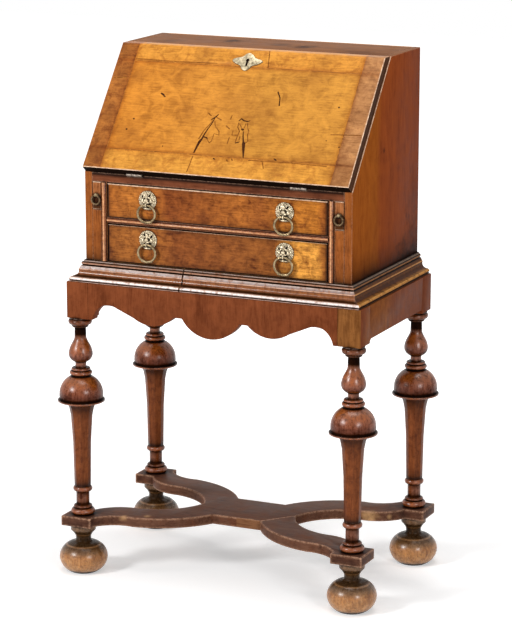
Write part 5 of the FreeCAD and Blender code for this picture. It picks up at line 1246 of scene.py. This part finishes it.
class BUREAU_OT_fall(BureauOperator, bpy.types.Operator):
    """Fall with its veneered field, crossbanding and stringing"""
    bl_idname = "bureau.fall"
    bl_label = "Fall"

    VENEERS = ("fall_field", "fall_left", "fall_right", "fall_top", "fall_bottom", "stringing",
               "fall_edge", "fall_inside", "joint", "rubbed")
    # how near a line counts as on it
    NEAR = MM / 10
    ARRIS = 0.5 * MM

    def execute(self, context):
        sizes = context.scene.bureau_sizes
        fall = copy_of("fall_board", "fall_board_veneered")
        fall.data.transform(ON_SLOPE.inverted())
        low, high = fall.bound_box[0], fall.bound_box[6]
        high_u = max(v.co.y for v in fall.data.vertices if v.co.z > FALL_FACE - MERGE)

        def outer_arris(edge):
            if any(v.co.z < FALL_FACE - self.NEAR for v in edge.verts):
                return False
            middle = (edge.verts[0].co + edge.verts[1].co) / 2
            return (abs(middle.x) > high[0] - self.NEAR or middle.y < low[1] + self.NEAR
                    or middle.y > high_u - self.NEAR)

        edit(fall)
        pick_edges(fall, outer_arris)
        bpy.ops.mesh.bevel(offset=sizes.fall_edge, segments=3, affect="EDGES")
        half = sizes.string_width / 2
        lines = ((0, -FIELD_X), (0, FIELD_X), (1, FIELD_LOW), (1, FIELD_HIGH))
        for axis, place in [(axis, line + shift) for axis, line in lines for shift in (-half, half)]:
            bpy.ops.mesh.select_all(action="SELECT")
            normal = Vector((axis == 0, axis == 1, 0))
            bpy.ops.mesh.bisect(plane_co=normal * place, plane_no=normal)
        leave()
        soften(fall, self.ARRIS)
        for name in self.VENEERS:
            fall.data.materials.append(finish(name))
        for face in fall.data.polygons:
            face.material_index = self.VENEERS.index(self.veneer(face, half))
        fall.data.transform(ON_SLOPE)
        fit(fall, None, "fall_board")
        return {"FINISHED"}

    def veneer(self, face, half):
        """The veneer that a face of the fall shows."""
        x, u = face.center.x, face.center.y
        in_x, in_u = FIELD_X - abs(x), min(u - FIELD_LOW, FIELD_HIGH - u)
        if face.normal.z < -0.5:
            return "fall_inside"
        if face.normal.z < 0.3:
            # the face along the fall's foot, which sits in shadow over the rail, is painted black as
            # painted shade
            return "joint" if face.normal.y < -0.5 else "fall_edge"
        # the arrises at the right and at the foot are pale as wear and as painted highlight
        if face.normal.z < 0.98 and (face.normal.x > 0.1 or face.normal.y < -0.1):
            return "rubbed"
        if min(in_x, in_u) > half:
            return "fall_field"
        if min(in_x, in_u) > -half and max(abs(in_x), abs(in_u)) > half:
            return "stringing"
        if in_x < -half:
            return "fall_left" if x < 0 else "fall_right"
        return "fall_bottom" if u < FIELD_LOW else "fall_top"


class BUREAU_OT_fall_marks(BureauOperator, bpy.types.Operator):
    """Old splits, knots and scribed darts in the fall's veneer"""
    bl_idname = "bureau.fall_marks"
    bl_label = "Marks in the fall"

    # runs of points across and up the slope with a half width, in millimetres
    DARK_LINES = [
        [(-29.5, 127.5, 0.8), (-33, 112, 1.1), (-38, 99, 1.3), (-42.5, 84.5, 1.6), (-44, 77, 2.2),
         (-47, 71, 2.8), (-49, 61.5, 2.4), (-51.5, 47, 1.5)],
        [(-37, 118.5, 1.2), (-32, 122.5, 1.5), (-28, 126.5, 1.4), (-25.5, 131, 0.9)],
        [(33.5, 99, 0.9), (36, 88.5, 1.2), (39.5, 78, 1.6), (41.5, 73.5, 3.4), (43.5, 65, 2.8),
         (46, 56, 2.0), (49, 44, 0.9)],
        [(18.5, 119.5, 1.0), (22.5, 125, 1.7), (28.5, 121, 1.5), (36.5, 120, 1.2), (41, 122, 0.8)],
        [(28, 104, 1.3), (31.5, 102, 2.2), (34, 103, 1.3)],
        [(24, 73.5, 1.0), (28.5, 75, 1.3), (32.5, 77, 0.8)],
        [(-41.5, 81.5, 1.4), (-35.5, 80.5, 1.4), (-33, 77.5, 1.0)],
        [(78.5, 186, 1.5), (86, 173.5, 1.1), (87.5, 165, 1.1), (89, 157, 1.4)],
    ]
    FAINT_LINES = [
        [(-51.5, 40.5, 0.9), (-52.5, 23, 1.0), (-54, 6.5, 1.0)],
        [(38, 271, 1.0), (44.5, 235, 1.0)],
        [(-29, 116, 0.9), (-25, 105.5, 1.0), (-14.5, 95.5, 1.1), (-12.5, 87.5, 1.1), (-23, 90, 1.0),
         (-23.5, 74, 1.0), (-27, 70, 1.2), (-34, 78, 1.0)],
        [(-32, 119, 0.9), (-38.5, 106.5, 1.0), (-45.5, 93.5, 1.0), (-49, 80.5, 1.2), (-50.5, 76.5, 1.4)],
        [(-28.5, 124.5, 1.0), (-16.5, 119, 1.2)],
        [(-47.5, 132.5, 1.0), (-39, 126.5, 1.2)],
        [(19.5, 116.5, 1.0), (20, 107, 1.1), (26, 98.5, 1.0), (24.5, 87.5, 1.1), (24, 75, 1.1)],
        [(24.5, 90, 1.2), (13, 89.5, 1.2), (13, 99, 1.0)],
        [(37.5, 116.5, 0.9), (40, 106.5, 1.0), (44.5, 99.5, 1.1), (44, 92, 1.0), (48.5, 79, 1.2),
         (44, 75, 1.3)],
        [(21.5, 114.5, 0.9), (29, 104.5, 1.0)],
        [(34.5, 115.5, 0.9), (33, 104.5, 1.0)],
        [(30, 88, 0.9), (30, 79.5, 0.9)],
        [(2, 131, 1.0), (1, 121.5, 1.0)],
        [(-4, 108, 1.2), (5, 102, 1.2)],
        [(9.5, 85.5, 1.0), (9, 70, 1.2)],
        [(17, 38.5, 1.0), (20.5, 34, 1.1)],
        [(26, 41, 1.2), (29.5, 37, 1.3)],
        [(88, 40.5, 1.0), (94.5, 25.5, 1.0)],
        [(205, 105, 0.9), (235, 106.5, 0.9), (263, 108, 0.9)],
        [(-262, 194, 0.9), (-235, 196, 0.9)],
        [(-230, 238, 0.9), (-150, 236.5, 0.9), (-60, 238, 0.9)],
        [(60, 40, 0.9), (140, 41.5, 0.9), (215, 40, 0.9)],
    ]
    # places across and up the slope, half lengths and half widths, in millimetres
    KNOTS = [
        (-151, 165, 6.0, 2.2), (-146, 161, 3.4, 1.6), (-194, 109, 2.2, 1.9), (-202, 86, 2.4, 2.1),
        (206, 162, 2.2, 1.8), (228, 80.5, 1.8, 1.6), (112, 46, 4.5, 1.6), (-118, 56, 1.6, 1.4),
        (-8, 38, 3.0, 1.6), (200, 92, 1.4, 1.2),
    ]
    KNOT_TURN = (0, 0, -0.5)
    KNOT_LEVEL = FALL_FACE - 0.1 * MM
    KNOT_HEIGHT = 0.25 * MM
    # share of its height that a scratch keeps when it is pressed flat
    PRESSED = 0.09
    SMOOTH_BELOW = 1.0

    def execute(self, context):
        dark = [self.stroke(line) for line in self.DARK_LINES]
        for x, u, long, wide in self.KNOTS:
            place = (x * MM, u * MM, self.KNOT_LEVEL)
            dark.append(ball(place, (long * MM, wide * MM, self.KNOT_HEIGHT), self.KNOT_TURN, 12))
        faint = [self.stroke(line) for line in self.FAINT_LINES]
        for name, finish_name, pieces in (
            ("fall_splits_and_knots", "old_marks", dark),
            ("fall_scratches", "faint_marks", faint),
        ):
            marks = joined(name, pieces)
            marks.data.transform(ON_SLOPE)
            bpy.ops.object.shade_smooth_by_angle(angle=self.SMOOTH_BELOW)
            fit(marks, finish_name, body="fall")
        return {"FINISHED"}

    def stroke(self, line):
        """A scratch of changing width, pressed nearly flat into the veneer."""
        curve = bpy.data.curves.new("stroke", "CURVE")
        curve.dimensions = "3D"
        curve.bevel_depth = MM
        curve.bevel_resolution = 2
        curve.use_fill_caps = True
        run = curve.splines.new("POLY")
        run.points.add(len(line) - 1)
        for point, (x, u, half) in zip(run.points, line):
            point.co = (x * MM, u * MM, 0, 1)
            point.radius = half
        made = bpy.data.objects.new("stroke", curve)
        bpy.context.scene.collection.objects.link(made)
        only(made)
        bpy.ops.object.convert(target="MESH")
        flat = bpy.context.object
        pressed = Matrix.Diagonal((1, 1, self.PRESSED, 1))
        flat.data.transform(Matrix.Translation((0, 0, FALL_FACE)) @ pressed)
        return flat


class BUREAU_OT_escutcheon(BureauOperator, bpy.types.Operator):
    """Shaped brass escutcheon with its keyhole"""
    bl_idname = "bureau.escutcheon"
    bl_label = "Escutcheon"

    # half width and half height as 1, anticlockwise from the right tip
    OUTLINE = [
        (1.0, 0.06), (0.93, 0.2), (0.82, 0.28), (0.68, 0.33), (0.55, 0.4), (0.45, 0.46), (0.39, 0.55),
        (0.34, 0.68), (0.25, 0.8), (0.13, 0.92), (0.0, 1.0), (-0.13, 0.93), (-0.23, 0.82), (-0.28, 0.7),
        (-0.35, 0.58), (-0.45, 0.49), (-0.6, 0.42), (-0.76, 0.36), (-0.9, 0.27), (-1.0, 0.1),
        (-0.93, -0.06), (-0.8, -0.17), (-0.7, -0.26), (-0.56, -0.36), (-0.43, -0.43), (-0.35, -0.53),
        (-0.31, -0.68), (-0.24, -0.84), (-0.12, -0.96), (0.0, -1.0), (0.12, -0.92), (0.22, -0.8),
        (0.28, -0.66), (0.32, -0.5), (0.42, -0.4), (0.56, -0.33), (0.7, -0.25), (0.86, -0.1),
    ]
    THICK = 1.5 * MM
    # the keyhole's round and slot, from the middle of the plate, and how deep they are cut
    ROUND_UP, ROUND_RADIUS = 3 * MM, 3.4 * MM
    SLOT_DOWN, SLOT_HALF = 9.5 * MM, 2.1 * MM
    CUT = 4 * MM
    # pins near the plate's ends: their share of the way to its tips and its top, level and radii
    PIN_OUT, PIN_UP = 0.8, 0.08
    PIN_LEVEL = FALL_FACE + 1.4 * MM
    PIN = (1.3 * MM, 1.3 * MM, 0.5 * MM)
    # painted shade: a flat black disc at the bottom of the keyhole
    KEYHOLE_SHADE_DOWN = 2 * MM
    KEYHOLE_SHADE_LEVEL = FALL_FACE + 0.2 * MM
    DARK = (4.5 * MM, 9 * MM, 0.15 * MM)
    SMOOTH_BELOW = 0.5

    def execute(self, context):
        low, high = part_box("escutcheon")
        half_x = (high.x - low.x) / 2
        local = [ON_SLOPE.inverted() @ v.co for v in frame["nodes"]["escutcheon"].data.vertices]
        middle = (min(v.y for v in local) + max(v.y for v in local)) / 2
        half_u = max(v.y for v in local) - middle
        deselect()
        bpy.ops.mesh.primitive_circle_add(vertices=len(self.OUTLINE), radius=half_x, fill_type="NGON")
        plate = context.object
        plate.name = "escutcheon_plate"
        for vertex, (a, b) in zip(plate.data.vertices, self.OUTLINE):
            vertex.co = (a * half_x, middle + b * half_u, FALL_FACE)
        edit(plate)
        bpy.ops.mesh.extrude_region_move(TRANSFORM_OT_translate={"value": (0, 0, self.THICK)})
        face_outward()
        pick_edges(plate, lambda e: all(v.co.z > FALL_FACE + MM for v in e.verts))
        bpy.ops.mesh.bevel(offset=context.scene.bureau_sizes.plate_edge, segments=2, affect="EDGES")
        leave()
        carve(plate, bar((0, middle + self.ROUND_UP, FALL_FACE), self.ROUND_RADIUS, 2 * self.CUT, "Z", 24))
        carve(plate, block((-self.SLOT_HALF, middle - self.SLOT_DOWN, FALL_FACE - self.CUT),
                           (self.SLOT_HALF, middle + self.ROUND_UP, FALL_FACE + self.CUT)))
        for side in SIDES.values():
            place = (side * self.PIN_OUT * half_x, middle + self.PIN_UP * half_u, self.PIN_LEVEL)
            plate = joined("escutcheon_plate", [plate, ball(place, self.PIN, segments=12)])
        faces = len(plate.data.polygons)
        # painted shade: the black disc in the keyhole, which takes the black finish below
        dark = ball((0, middle - self.KEYHOLE_SHADE_DOWN, self.KEYHOLE_SHADE_LEVEL), self.DARK, segments=16)
        plate = joined("escutcheon_plate", [plate, dark])
        plate.data.transform(ON_SLOPE)
        only(plate)
        bpy.ops.object.shade_smooth_by_angle(angle=self.SMOOTH_BELOW)
        fit(plate, "plate", "escutcheon")
        also(plate, "joint", lambda face: face.index >= faces)
        return {"FINISHED"}


class BUREAU_OT_hinges_and_lock(BureauOperator, bpy.types.Operator):
    """Hinges, lock, bolt and staple"""
    bl_idname = "bureau.hinges_and_lock"
    bl_label = "Hinges and lock"

    def execute(self, context):
        for node in ("hinge_case_leaves", "hinge_fall_leaves", "hinge_pins"):
            dress(node, "hinge", METAL_ARRIS)
        for node in ("lock_case", "lock_bolt", "lock_staple"):
            dress(node, "steel", METAL_ARRIS)
        return {"FINISHED"}


class BUREAU_OT_drawers(BureauOperator, bpy.types.Operator):
    """The two large drawers"""
    bl_idname = "bureau.drawers"
    bl_label = "Drawers"

    def execute(self, context):
        for name in ("upper_drawer", "lower_drawer"):
            front = dress_front(name + "_front", name, context.scene.bureau_sizes.drawer_edge)
            # the roundings round each front take black painted shade, the top one a pale painted highlight
            # over the wear
            also(front, "joint", on_rounding)
            also(front, "rubbed", lambda face: (
                on_rounding(face) and face.normal.y < -0.6 and face.normal.z > 0.2))
            dress(name + "_box", "oak_deep", LINING_ARRIS)
            dress(name + "_bottom", "oak", LINING_ARRIS)
        return {"FINISHED"}


class BUREAU_OT_masks(BureauOperator, bpy.types.Operator):
    """Lion-mask mounts of the drawer pulls"""
    bl_idname = "bureau.masks"
    bl_label = "Masks"

    # scallops round the rim, and locks of the mane
    SCALLOPS = 26
    LOCKS = 15
    # how far the eyes of each face are turned round its middle
    TURNS = {
        ("upper", "left"): 0.2,
        ("upper", "right"): 0.1,
        ("lower", "left"): -0.16,
        ("lower", "right"): 0.22,
    }
    # clear room round the middle of the ring's wire, and the ways for the wire: near and far side, and foot
    CLEAR = 2.9
    WAYS = ((2.6, 8.2, -4.4), (8.1, 12.4, -6.8))
    # radii and heights of the nut behind the drawer's front
    NUT = ((2.0, 0), (5, 0), (5, 2.2), (4.2, 3), (2.0, 3), (2.0, 0))
    # faces within this share of a hollow's size are in it
    IN_HOLLOW = 1.06
    SMOOTH_BELOW = 0.9

    def lion(self, mm, pivot):
        """One mask at the origin, facing -Y, as lumps melted together and opened for the ring.

        All its numbers are millimetres of a mask of the usual radius, and mm is one of them in metres.
        """
        depth, drop = pivot
        lumps = [bar((0, -0.8 * mm, 0), 17.3 * mm, 1.6 * mm, "Y", 48)]

        def lump(at, radii, turn=(0, 0, 0), segments=24):
            lumps.append(ball([part * mm for part in at], [part * mm for part in radii], turn, segments))

        lump((0, 0, 0), (15.6, 5.4, 15.6), segments=36)
        for scallop in range(self.SCALLOPS):
            angle = 2 * math.pi * scallop / self.SCALLOPS
            at = (16.9 * math.cos(angle), -1.2, 16.9 * math.sin(angle))
            lump(at, (1.5, 1.3, 1.7), (0, -angle, 0), 12)
        for lock in range(self.LOCKS):
            angle = 2 * math.pi * (lock + 0.5) / self.LOCKS + math.pi / 2
            at = (13.2 * math.cos(angle), -2.4, 13.2 * math.sin(angle))
            lump(at, (3.3, 1.7, 1.7), (0, -angle, 0), 14)
        # brows, cheeks and lips
        for side in SIDES.values():
            lump((side * 5.6, -5.6, 5.6), (3.6, 2.0, 2.0), (0, side * 0.7, 0))
            lump((side * 8.4, -4.6, -0.6), (3.6, 2.6, 4.0))
            lump((side * 3.4, -7.4, -2.8), (3.2, 3.0, 2.2))
        # forehead, nose, the tongue that holds the ring, and chin
        lump((0, -6.0, 7.5), (2.8, 2.2, 6.0))
        lump((0, -8.2, 1.0), (4.3, 3.8, 3.8))
        lump((0, depth / mm, drop / mm), (2.3, 5.2, 5.2))
        lump((0, -4.4, -14.6), (7.6, 3.4, 2.2))
        mask = joined("lion_mask", lumps)
        remesh = mask.modifiers.new("melt", "REMESH")
        remesh.mode = "VOXEL"
        remesh.voxel_size = 0.4 * mm
        smooth = mask.modifiers.new("cast", "SMOOTH")
        smooth.factor = 0.5
        smooth.iterations = 2
        apply_all(mask)
        for side in SIDES.values():
            carve(mask, ball(*self.cheek(mm, side), 20))
            for near, far, low in self.WAYS:
                left, right = sorted((side * near * mm, side * far * mm))
                carve(mask, block((left, -30 * mm, drop + low * mm),
                                  (right, depth + self.CLEAR * mm, drop + self.CLEAR * mm)))
        carve(mask, bar((0, depth, drop), self.CLEAR * mm, 12 * mm, "X"))
        post = bar((0, 12 * mm, 0), 2.0 * mm, 24 * mm, "Y", 20)
        nut = lathe("mask_nut", [(r * mm, h * mm) for r, h in self.NUT], (0, 18 * mm, 0), INWARD, 24)
        return joined("lion_mask", [mask, post, nut])

    def cheek(self, mm, side):
        """Place, radii and turn of the hollow beside the tongue."""
        return (side * 4.9 * mm, -6.5 * mm, -8.2 * mm), (2.7 * mm, 5.6 * mm, 3.8 * mm), (0, side * 0.25, 0)

    def socket(self, mm, side, turn):
        """Place, radii and turn of an eye's hollow."""
        angle = math.pi / 2 - side * 0.72 + turn
        at = (11.6 * mm * math.cos(angle), -5.0 * mm, 11.6 * mm * math.sin(angle))
        return at, (1.8 * mm, 4.4 * mm, 3.0 * mm), (0, side * 0.5, 0)

    def execute(self, context):
        mm = context.scene.bureau_sizes.mask_radius / MASK_RADIUS
        low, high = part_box("upper_ring_left")
        wire = (high.y - low.y) / 2
        pivot = ((low.y + high.y) / 2 - CASE_FRONT, high.z - wire - MASK_HEIGHTS["upper"])
        mask = self.lion(mm, pivot)
        for level, height in MASK_HEIGHTS.items():
            pair, hollows = [], []
            for side, sign in SIDES.items():
                one = mask.copy()
                one.data = mask.data.copy()
                context.scene.collection.objects.link(one)
                seat = Matrix.Translation((sign * PULL_X, CASE_FRONT, height))
                for eye in SIDES.values():
                    socket = self.socket(mm, eye, self.TURNS[level, side])
                    carve(one, ball(*socket, 16))
                    for at, radii, turn in (socket, self.cheek(mm, eye)):
                        hollow = seat @ Matrix.LocRotScale(Vector(at), Euler(turn), Vector(radii))
                        hollows.append(hollow.inverted())
                one.data.transform(seat)
                pair.append(one)
            pulls = joined(f"{level}_drawer_lion_masks", pair)
            only(pulls)
            bpy.ops.object.shade_smooth_by_angle(angle=self.SMOOTH_BELOW)
            fit(pulls, "brass", f"{level}_drawer_masks")
            # the eyes' and cheeks' hollows take black painted shade
            also(pulls, "joint", lambda face: any(
                (hollow @ face.center).length < self.IN_HOLLOW for hollow in hollows))
        bpy.data.objects.remove(mask)
        return {"FINISHED"}


class BUREAU_OT_rings(BureauOperator, bpy.types.Operator):
    """Oval rings of the drawer pulls with a beaded knop"""
    bl_idname = "bureau.rings"
    bl_label = "Pull rings"

    WIDEN = 1.06
    LOWER = 0.96
    # beads beside the knop: along, up and thickness, in radii of the knop
    BEADS = ((1.25, 0.04, 0.94), (2.3, 0.16, 0.88), (3.2, 0.36, 0.82))
    BEAD_LENGTH = 0.5
    BEAD_TILT = 0.16
    KNOP_LENGTH = 0.75
    SMOOTH_BELOW = 0.8

    def execute(self, context):
        sizes = context.scene.bureau_sizes
        low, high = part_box("upper_ring_left")
        radius = (high.x - low.x) / 2 - sizes.ring_wire
        deselect()
        bpy.ops.mesh.primitive_torus_add(major_segments=72, minor_segments=16, major_radius=radius,
                                         minor_radius=sizes.ring_wire)
        ring = context.object
        pivot_down = Matrix.Translation((0, 0, -radius * self.LOWER))
        stretch = Matrix.Diagonal((self.WIDEN, 1, self.LOWER, 1))
        ring.data.transform(pivot_down @ stretch @ Matrix.Rotation(math.pi / 2, 4, "X"))
        bottom = -2 * radius * self.LOWER
        knop = sizes.knop
        beads = [ball((0, 0, bottom), (self.KNOP_LENGTH * knop, knop, knop), segments=20)]
        for side in SIDES.values():
            for place, lift, size in self.BEADS:
                beads.append(ball((side * place * knop, 0, bottom + lift * knop),
                                  (self.BEAD_LENGTH * knop, size * knop, size * knop),
                                  (0, -side * self.BEAD_TILT * place, 0), 16))
        ring = joined("pull_ring", [ring] + beads)
        bpy.ops.object.shade_smooth_by_angle(angle=self.SMOOTH_BELOW)
        plane = (low.y + high.y) / 2
        for level in MASK_HEIGHTS:
            for side, sign in SIDES.items():
                node = f"{level}_ring_{side}"
                one = bpy.data.objects.new(node + "_knopped", ring.data.copy())
                context.scene.collection.objects.link(one)
                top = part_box(node)[1].z - sizes.ring_wire
                one.data.transform(Matrix.Translation((sign * PULL_X, plane, top)))
                fit(one, "dark_brass", node)
        bpy.data.objects.remove(ring)
        return {"FINISHED"}


class BUREAU_OT_lopers(BureauOperator, bpy.types.Operator):
    """Lopers with their ball studs and small rings"""
    bl_idname = "bureau.lopers"
    bl_label = "Lopers"

    # the drop at a ring's foot, in radii of its wire
    DROP = (1.3, 1.15, 1.15)
    # the stud's round head: from the ring's wire to its middle, its radii and its drilling
    HEAD_AT = Vector((0, 0.4 * MM, 0.8 * MM))
    HEAD = (3.4 * MM, 3.6 * MM, 3.9 * MM)
    DRILL_RADIUS, DRILL_LENGTH = 1.88 * MM, 20 * MM
    STUD_ARRIS = 0.25 * MM
    SMOOTH_BELOW = 0.8

    def execute(self, context):
        for side in SIDES:
            loper = dress_front("loper_" + side, "loper", context.scene.bureau_sizes.loper_edge)
            also(loper, "stile", lambda face: face.normal.y > -0.1)
            # the side roundings take black painted shade beside the gaps; the top and bottom ones are pale,
            # as wear and painted highlight
            also(loper, "joint", lambda face: on_rounding(face) and abs(face.normal.x) > 0.2)
            also(loper, "rubbed", lambda face: (
                on_rounding(face) and face.normal.y < -0.3 and abs(face.normal.z) > 0.2))
            self.ring("loper_ring_" + side, context.scene.bureau_sizes.small_wire)
            self.stud("loper_stud_" + side, "loper_ring_" + side)
        return {"FINISHED"}

    def pivot(self, ring_node):
        """The middle of the wire at the top of a loper's ring, and the wire's radius."""
        low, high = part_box(ring_node)
        wire = (high.y - low.y) / 2
        return Vector(((low.x + high.x) / 2, (low.y + high.y) / 2, high.z - wire)), wire

    def ring(self, node, wire):
        """A small stout ring on the middle line of the frame's ring."""
        low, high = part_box(node)
        top, thin = self.pivot(node)
        radius = (high.x - low.x) / 2 - thin
        deselect()
        bpy.ops.mesh.primitive_torus_add(major_segments=48, minor_segments=14, major_radius=radius,
                                         minor_radius=wire)
        ring = bpy.context.object
        ring.name = node + "_stout"
        hung = Matrix.Translation(top - Vector((0, 0, radius)))
        ring.data.transform(hung @ Matrix.Rotation(math.pi / 2, 4, "X"))
        drop = ball(top - Vector((0, 0, 2 * radius)), [share * wire for share in self.DROP], segments=14)
        ring = joined(ring.name, [ring, drop])
        bpy.ops.object.shade_smooth_by_angle(angle=self.SMOOTH_BELOW)
        return fit(ring, "smoked_brass", node)

    def stud(self, node, ring_node):
        """The stud with a round head, drilled for the ring."""
        top, _ = self.pivot(ring_node)
        stud = dress(node, None, self.STUD_ARRIS)
        head = ball(top + self.HEAD_AT, self.HEAD, segments=28)
        carve(head, bar(top, self.DRILL_RADIUS, self.DRILL_LENGTH, "X"))
        stud = joined(stud.name, [stud, head])
        bpy.ops.object.shade_smooth_by_angle(angle=self.SMOOTH_BELOW)
        return fit(stud, "dark_brass", node)


class BUREAU_OT_gallery(BureauOperator, bpy.types.Operator):
    """Pigeonholes and small drawers behind the fall"""
    bl_idname = "bureau.gallery"
    bl_label = "Gallery"

    def execute(self, context):
        dress("pigeonhole_shelf", "oak", LINING_ARRIS)
        dress("interior_partitions", "oak_deep", LINING_ARRIS)
        for number in (1, 2, 3):
            dress(f"small_drawer_{number}", "upper_drawer", LINING_ARRIS)
            dress(f"small_drawer_{number}_knob", "brass", METAL_ARRIS)
        return {"FINISHED"}


class BUREAU_OT_stage(BureauOperator, bpy.types.Operator):
    """White floor, soft studio lights and the camera"""
    bl_idname = "bureau.stage"
    bl_label = "Stage"

    # place, what it looks at, size, power
    LAMPS = {
        "key_softbox": ((-1.9, -3.0, 2.2), (0, 0, 0.55), 0.75, 90),
        "fill_softbox": ((2.9, -2.3, 1.6), (0, 0, 0.5), 0.65, 42),
        "top_softbox": ((0.1, 0.1, 3.1), (0, 0, 0.6), 1.8, 52),
    }
    AMBIENT = 0.2
    # the floor: its size, the white of its paper, and its own glow from near the bureau to far from it
    FLOOR_SIZE = 16
    PAPER = (0.8, 0.8, 0.8, 1)
    NEAR, NEAR_GLOW = 0.6, 0.42
    FAR, FAR_GLOW = 1.8, 1.0
    CAMERA_AT = (2.0441, -4.4217, 1.624)
    CAMERA_YAW = math.radians(24.658)
    CAMERA_PITCH = math.radians(13.172)
    CAMERA_LENS = 147.56

    def execute(self, context):
        scene = context.scene
        for name, (place, target, size, power) in self.LAMPS.items():
            bpy.ops.object.light_add(type="AREA", location=place)
            lamp = context.object
            lamp.name = name
            lamp.data.size = size
            lamp.data.energy = power
            lamp.rotation_euler = (Vector(target) - Vector(place)).to_track_quat("-Z", "Y").to_euler()
        self.world(scene)
        self.floor(context)
        bpy.ops.object.camera_add(location=self.CAMERA_AT,
                                  rotation=(math.pi / 2 - self.CAMERA_PITCH, 0, self.CAMERA_YAW))
        camera = context.object
        camera.data.lens = self.CAMERA_LENS
        camera.data.clip_end = 100
        scene.camera = camera
        scene.view_settings.view_transform = "Standard"
        return {"FINISHED"}

    def seen(self, tree):
        """1 for rays that show the background itself."""
        path = add(tree, "ShaderNodeLightPath").outputs
        seen = path["Is Camera Ray"]
        for ray in ("Is Glossy Ray", "Is Transmission Ray"):
            seen = add(tree, MATH, {0: seen, 1: path[ray]}, operation="MAXIMUM").outputs[0]
        return seen

    def world(self, scene):
        scene.world = bpy.data.worlds.new("white_studio")
        scene.world.use_nodes = True
        tree = scene.world.node_tree
        tree.nodes.clear()
        strength = add(tree, RANGE, {
            "Value": self.seen(tree), "To Min": self.AMBIENT, "To Max": 1.0}).outputs[0]
        back = add(tree, "ShaderNodeBackground", {"Color": (1, 1, 1, 1), "Strength": strength})
        add(tree, "ShaderNodeOutputWorld", {"Surface": back.outputs[0]})

    def floor(self, context):
        deselect()
        bpy.ops.mesh.primitive_plane_add(size=self.FLOOR_SIZE)
        floor = context.object
        floor.name = "studio_floor"
        material = bpy.data.materials.new("white_paper_floor")
        material.use_nodes = True
        tree = material.node_tree
        tree.nodes.clear()
        where = add(tree, PLACE).outputs["Object"]
        reach = add(tree, VECTOR_MATH, {0: where}, operation="LENGTH").outputs["Value"]
        glow = add(tree, RANGE, {
            "Value": reach, "From Min": self.NEAR, "From Max": self.FAR,
            "To Min": self.NEAR_GLOW, "To Max": self.FAR_GLOW}).outputs[0]
        lit = add(tree, MATH, {0: glow, 1: self.seen(tree)}, operation="MULTIPLY").outputs[0]
        paper = add(tree, "ShaderNodeBsdfDiffuse", {"Color": self.PAPER})
        shine = add(tree, "ShaderNodeEmission", {"Color": (1, 1, 1, 1), "Strength": lit})
        both = add(tree, "ShaderNodeAddShader", {0: paper.outputs[0], 1: shine.outputs[0]})
        add(tree, "ShaderNodeOutputMaterial", {"Surface": both.outputs[0]})
        floor.data.materials.append(material)


class BUREAU_PT_panel(bpy.types.Panel):
    """Pieces, sizes and colours of the bureau"""
    bl_idname = "BUREAU_PT_panel"
    bl_label = "Walnut Bureau"
    bl_space_type = "VIEW_3D"
    bl_region_type = "UI"
    bl_category = "Bureau"

    def draw(self, context):
        for operator in OPERATORS:
            self.layout.operator(operator.bl_idname)
        for group in (context.scene.bureau_sizes, context.scene.bureau_colours):
            box = self.layout.box()
            for name in group.__annotations__:
                box.prop(group, name)


OPERATORS = (
    BUREAU_OT_case, BUREAU_OT_mouldings, BUREAU_OT_stand, BUREAU_OT_fall, BUREAU_OT_fall_marks,
    BUREAU_OT_escutcheon, BUREAU_OT_hinges_and_lock, BUREAU_OT_drawers, BUREAU_OT_masks,
    BUREAU_OT_rings, BUREAU_OT_lopers, BUREAU_OT_gallery, BUREAU_OT_stage,
)
CLASSES = (BureauSizes, BureauColours) + OPERATORS + (BUREAU_PT_panel,)


def register():
    for made in CLASSES:
        bpy.utils.register_class(made)
    bpy.types.Scene.bureau_sizes = PointerProperty(type=BureauSizes)
    bpy.types.Scene.bureau_colours = PointerProperty(type=BureauColours)


def unregister():
    del bpy.types.Scene.bureau_colours
    del bpy.types.Scene.bureau_sizes
    for made in reversed(CLASSES):
        bpy.utils.unregister_class(made)


def main():
    register()
    bpy.ops.bureau.case()
    bpy.ops.bureau.mouldings()
    bpy.ops.bureau.stand()
    bpy.ops.bureau.fall()
    bpy.ops.bureau.fall_marks()
    bpy.ops.bureau.escutcheon()
    bpy.ops.bureau.hinges_and_lock()
    bpy.ops.bureau.drawers()
    bpy.ops.bureau.masks()
    bpy.ops.bureau.rings()
    bpy.ops.bureau.lopers()
    bpy.ops.bureau.gallery()
    bpy.ops.bureau.stage()


if __name__ == "__main__":
    main()
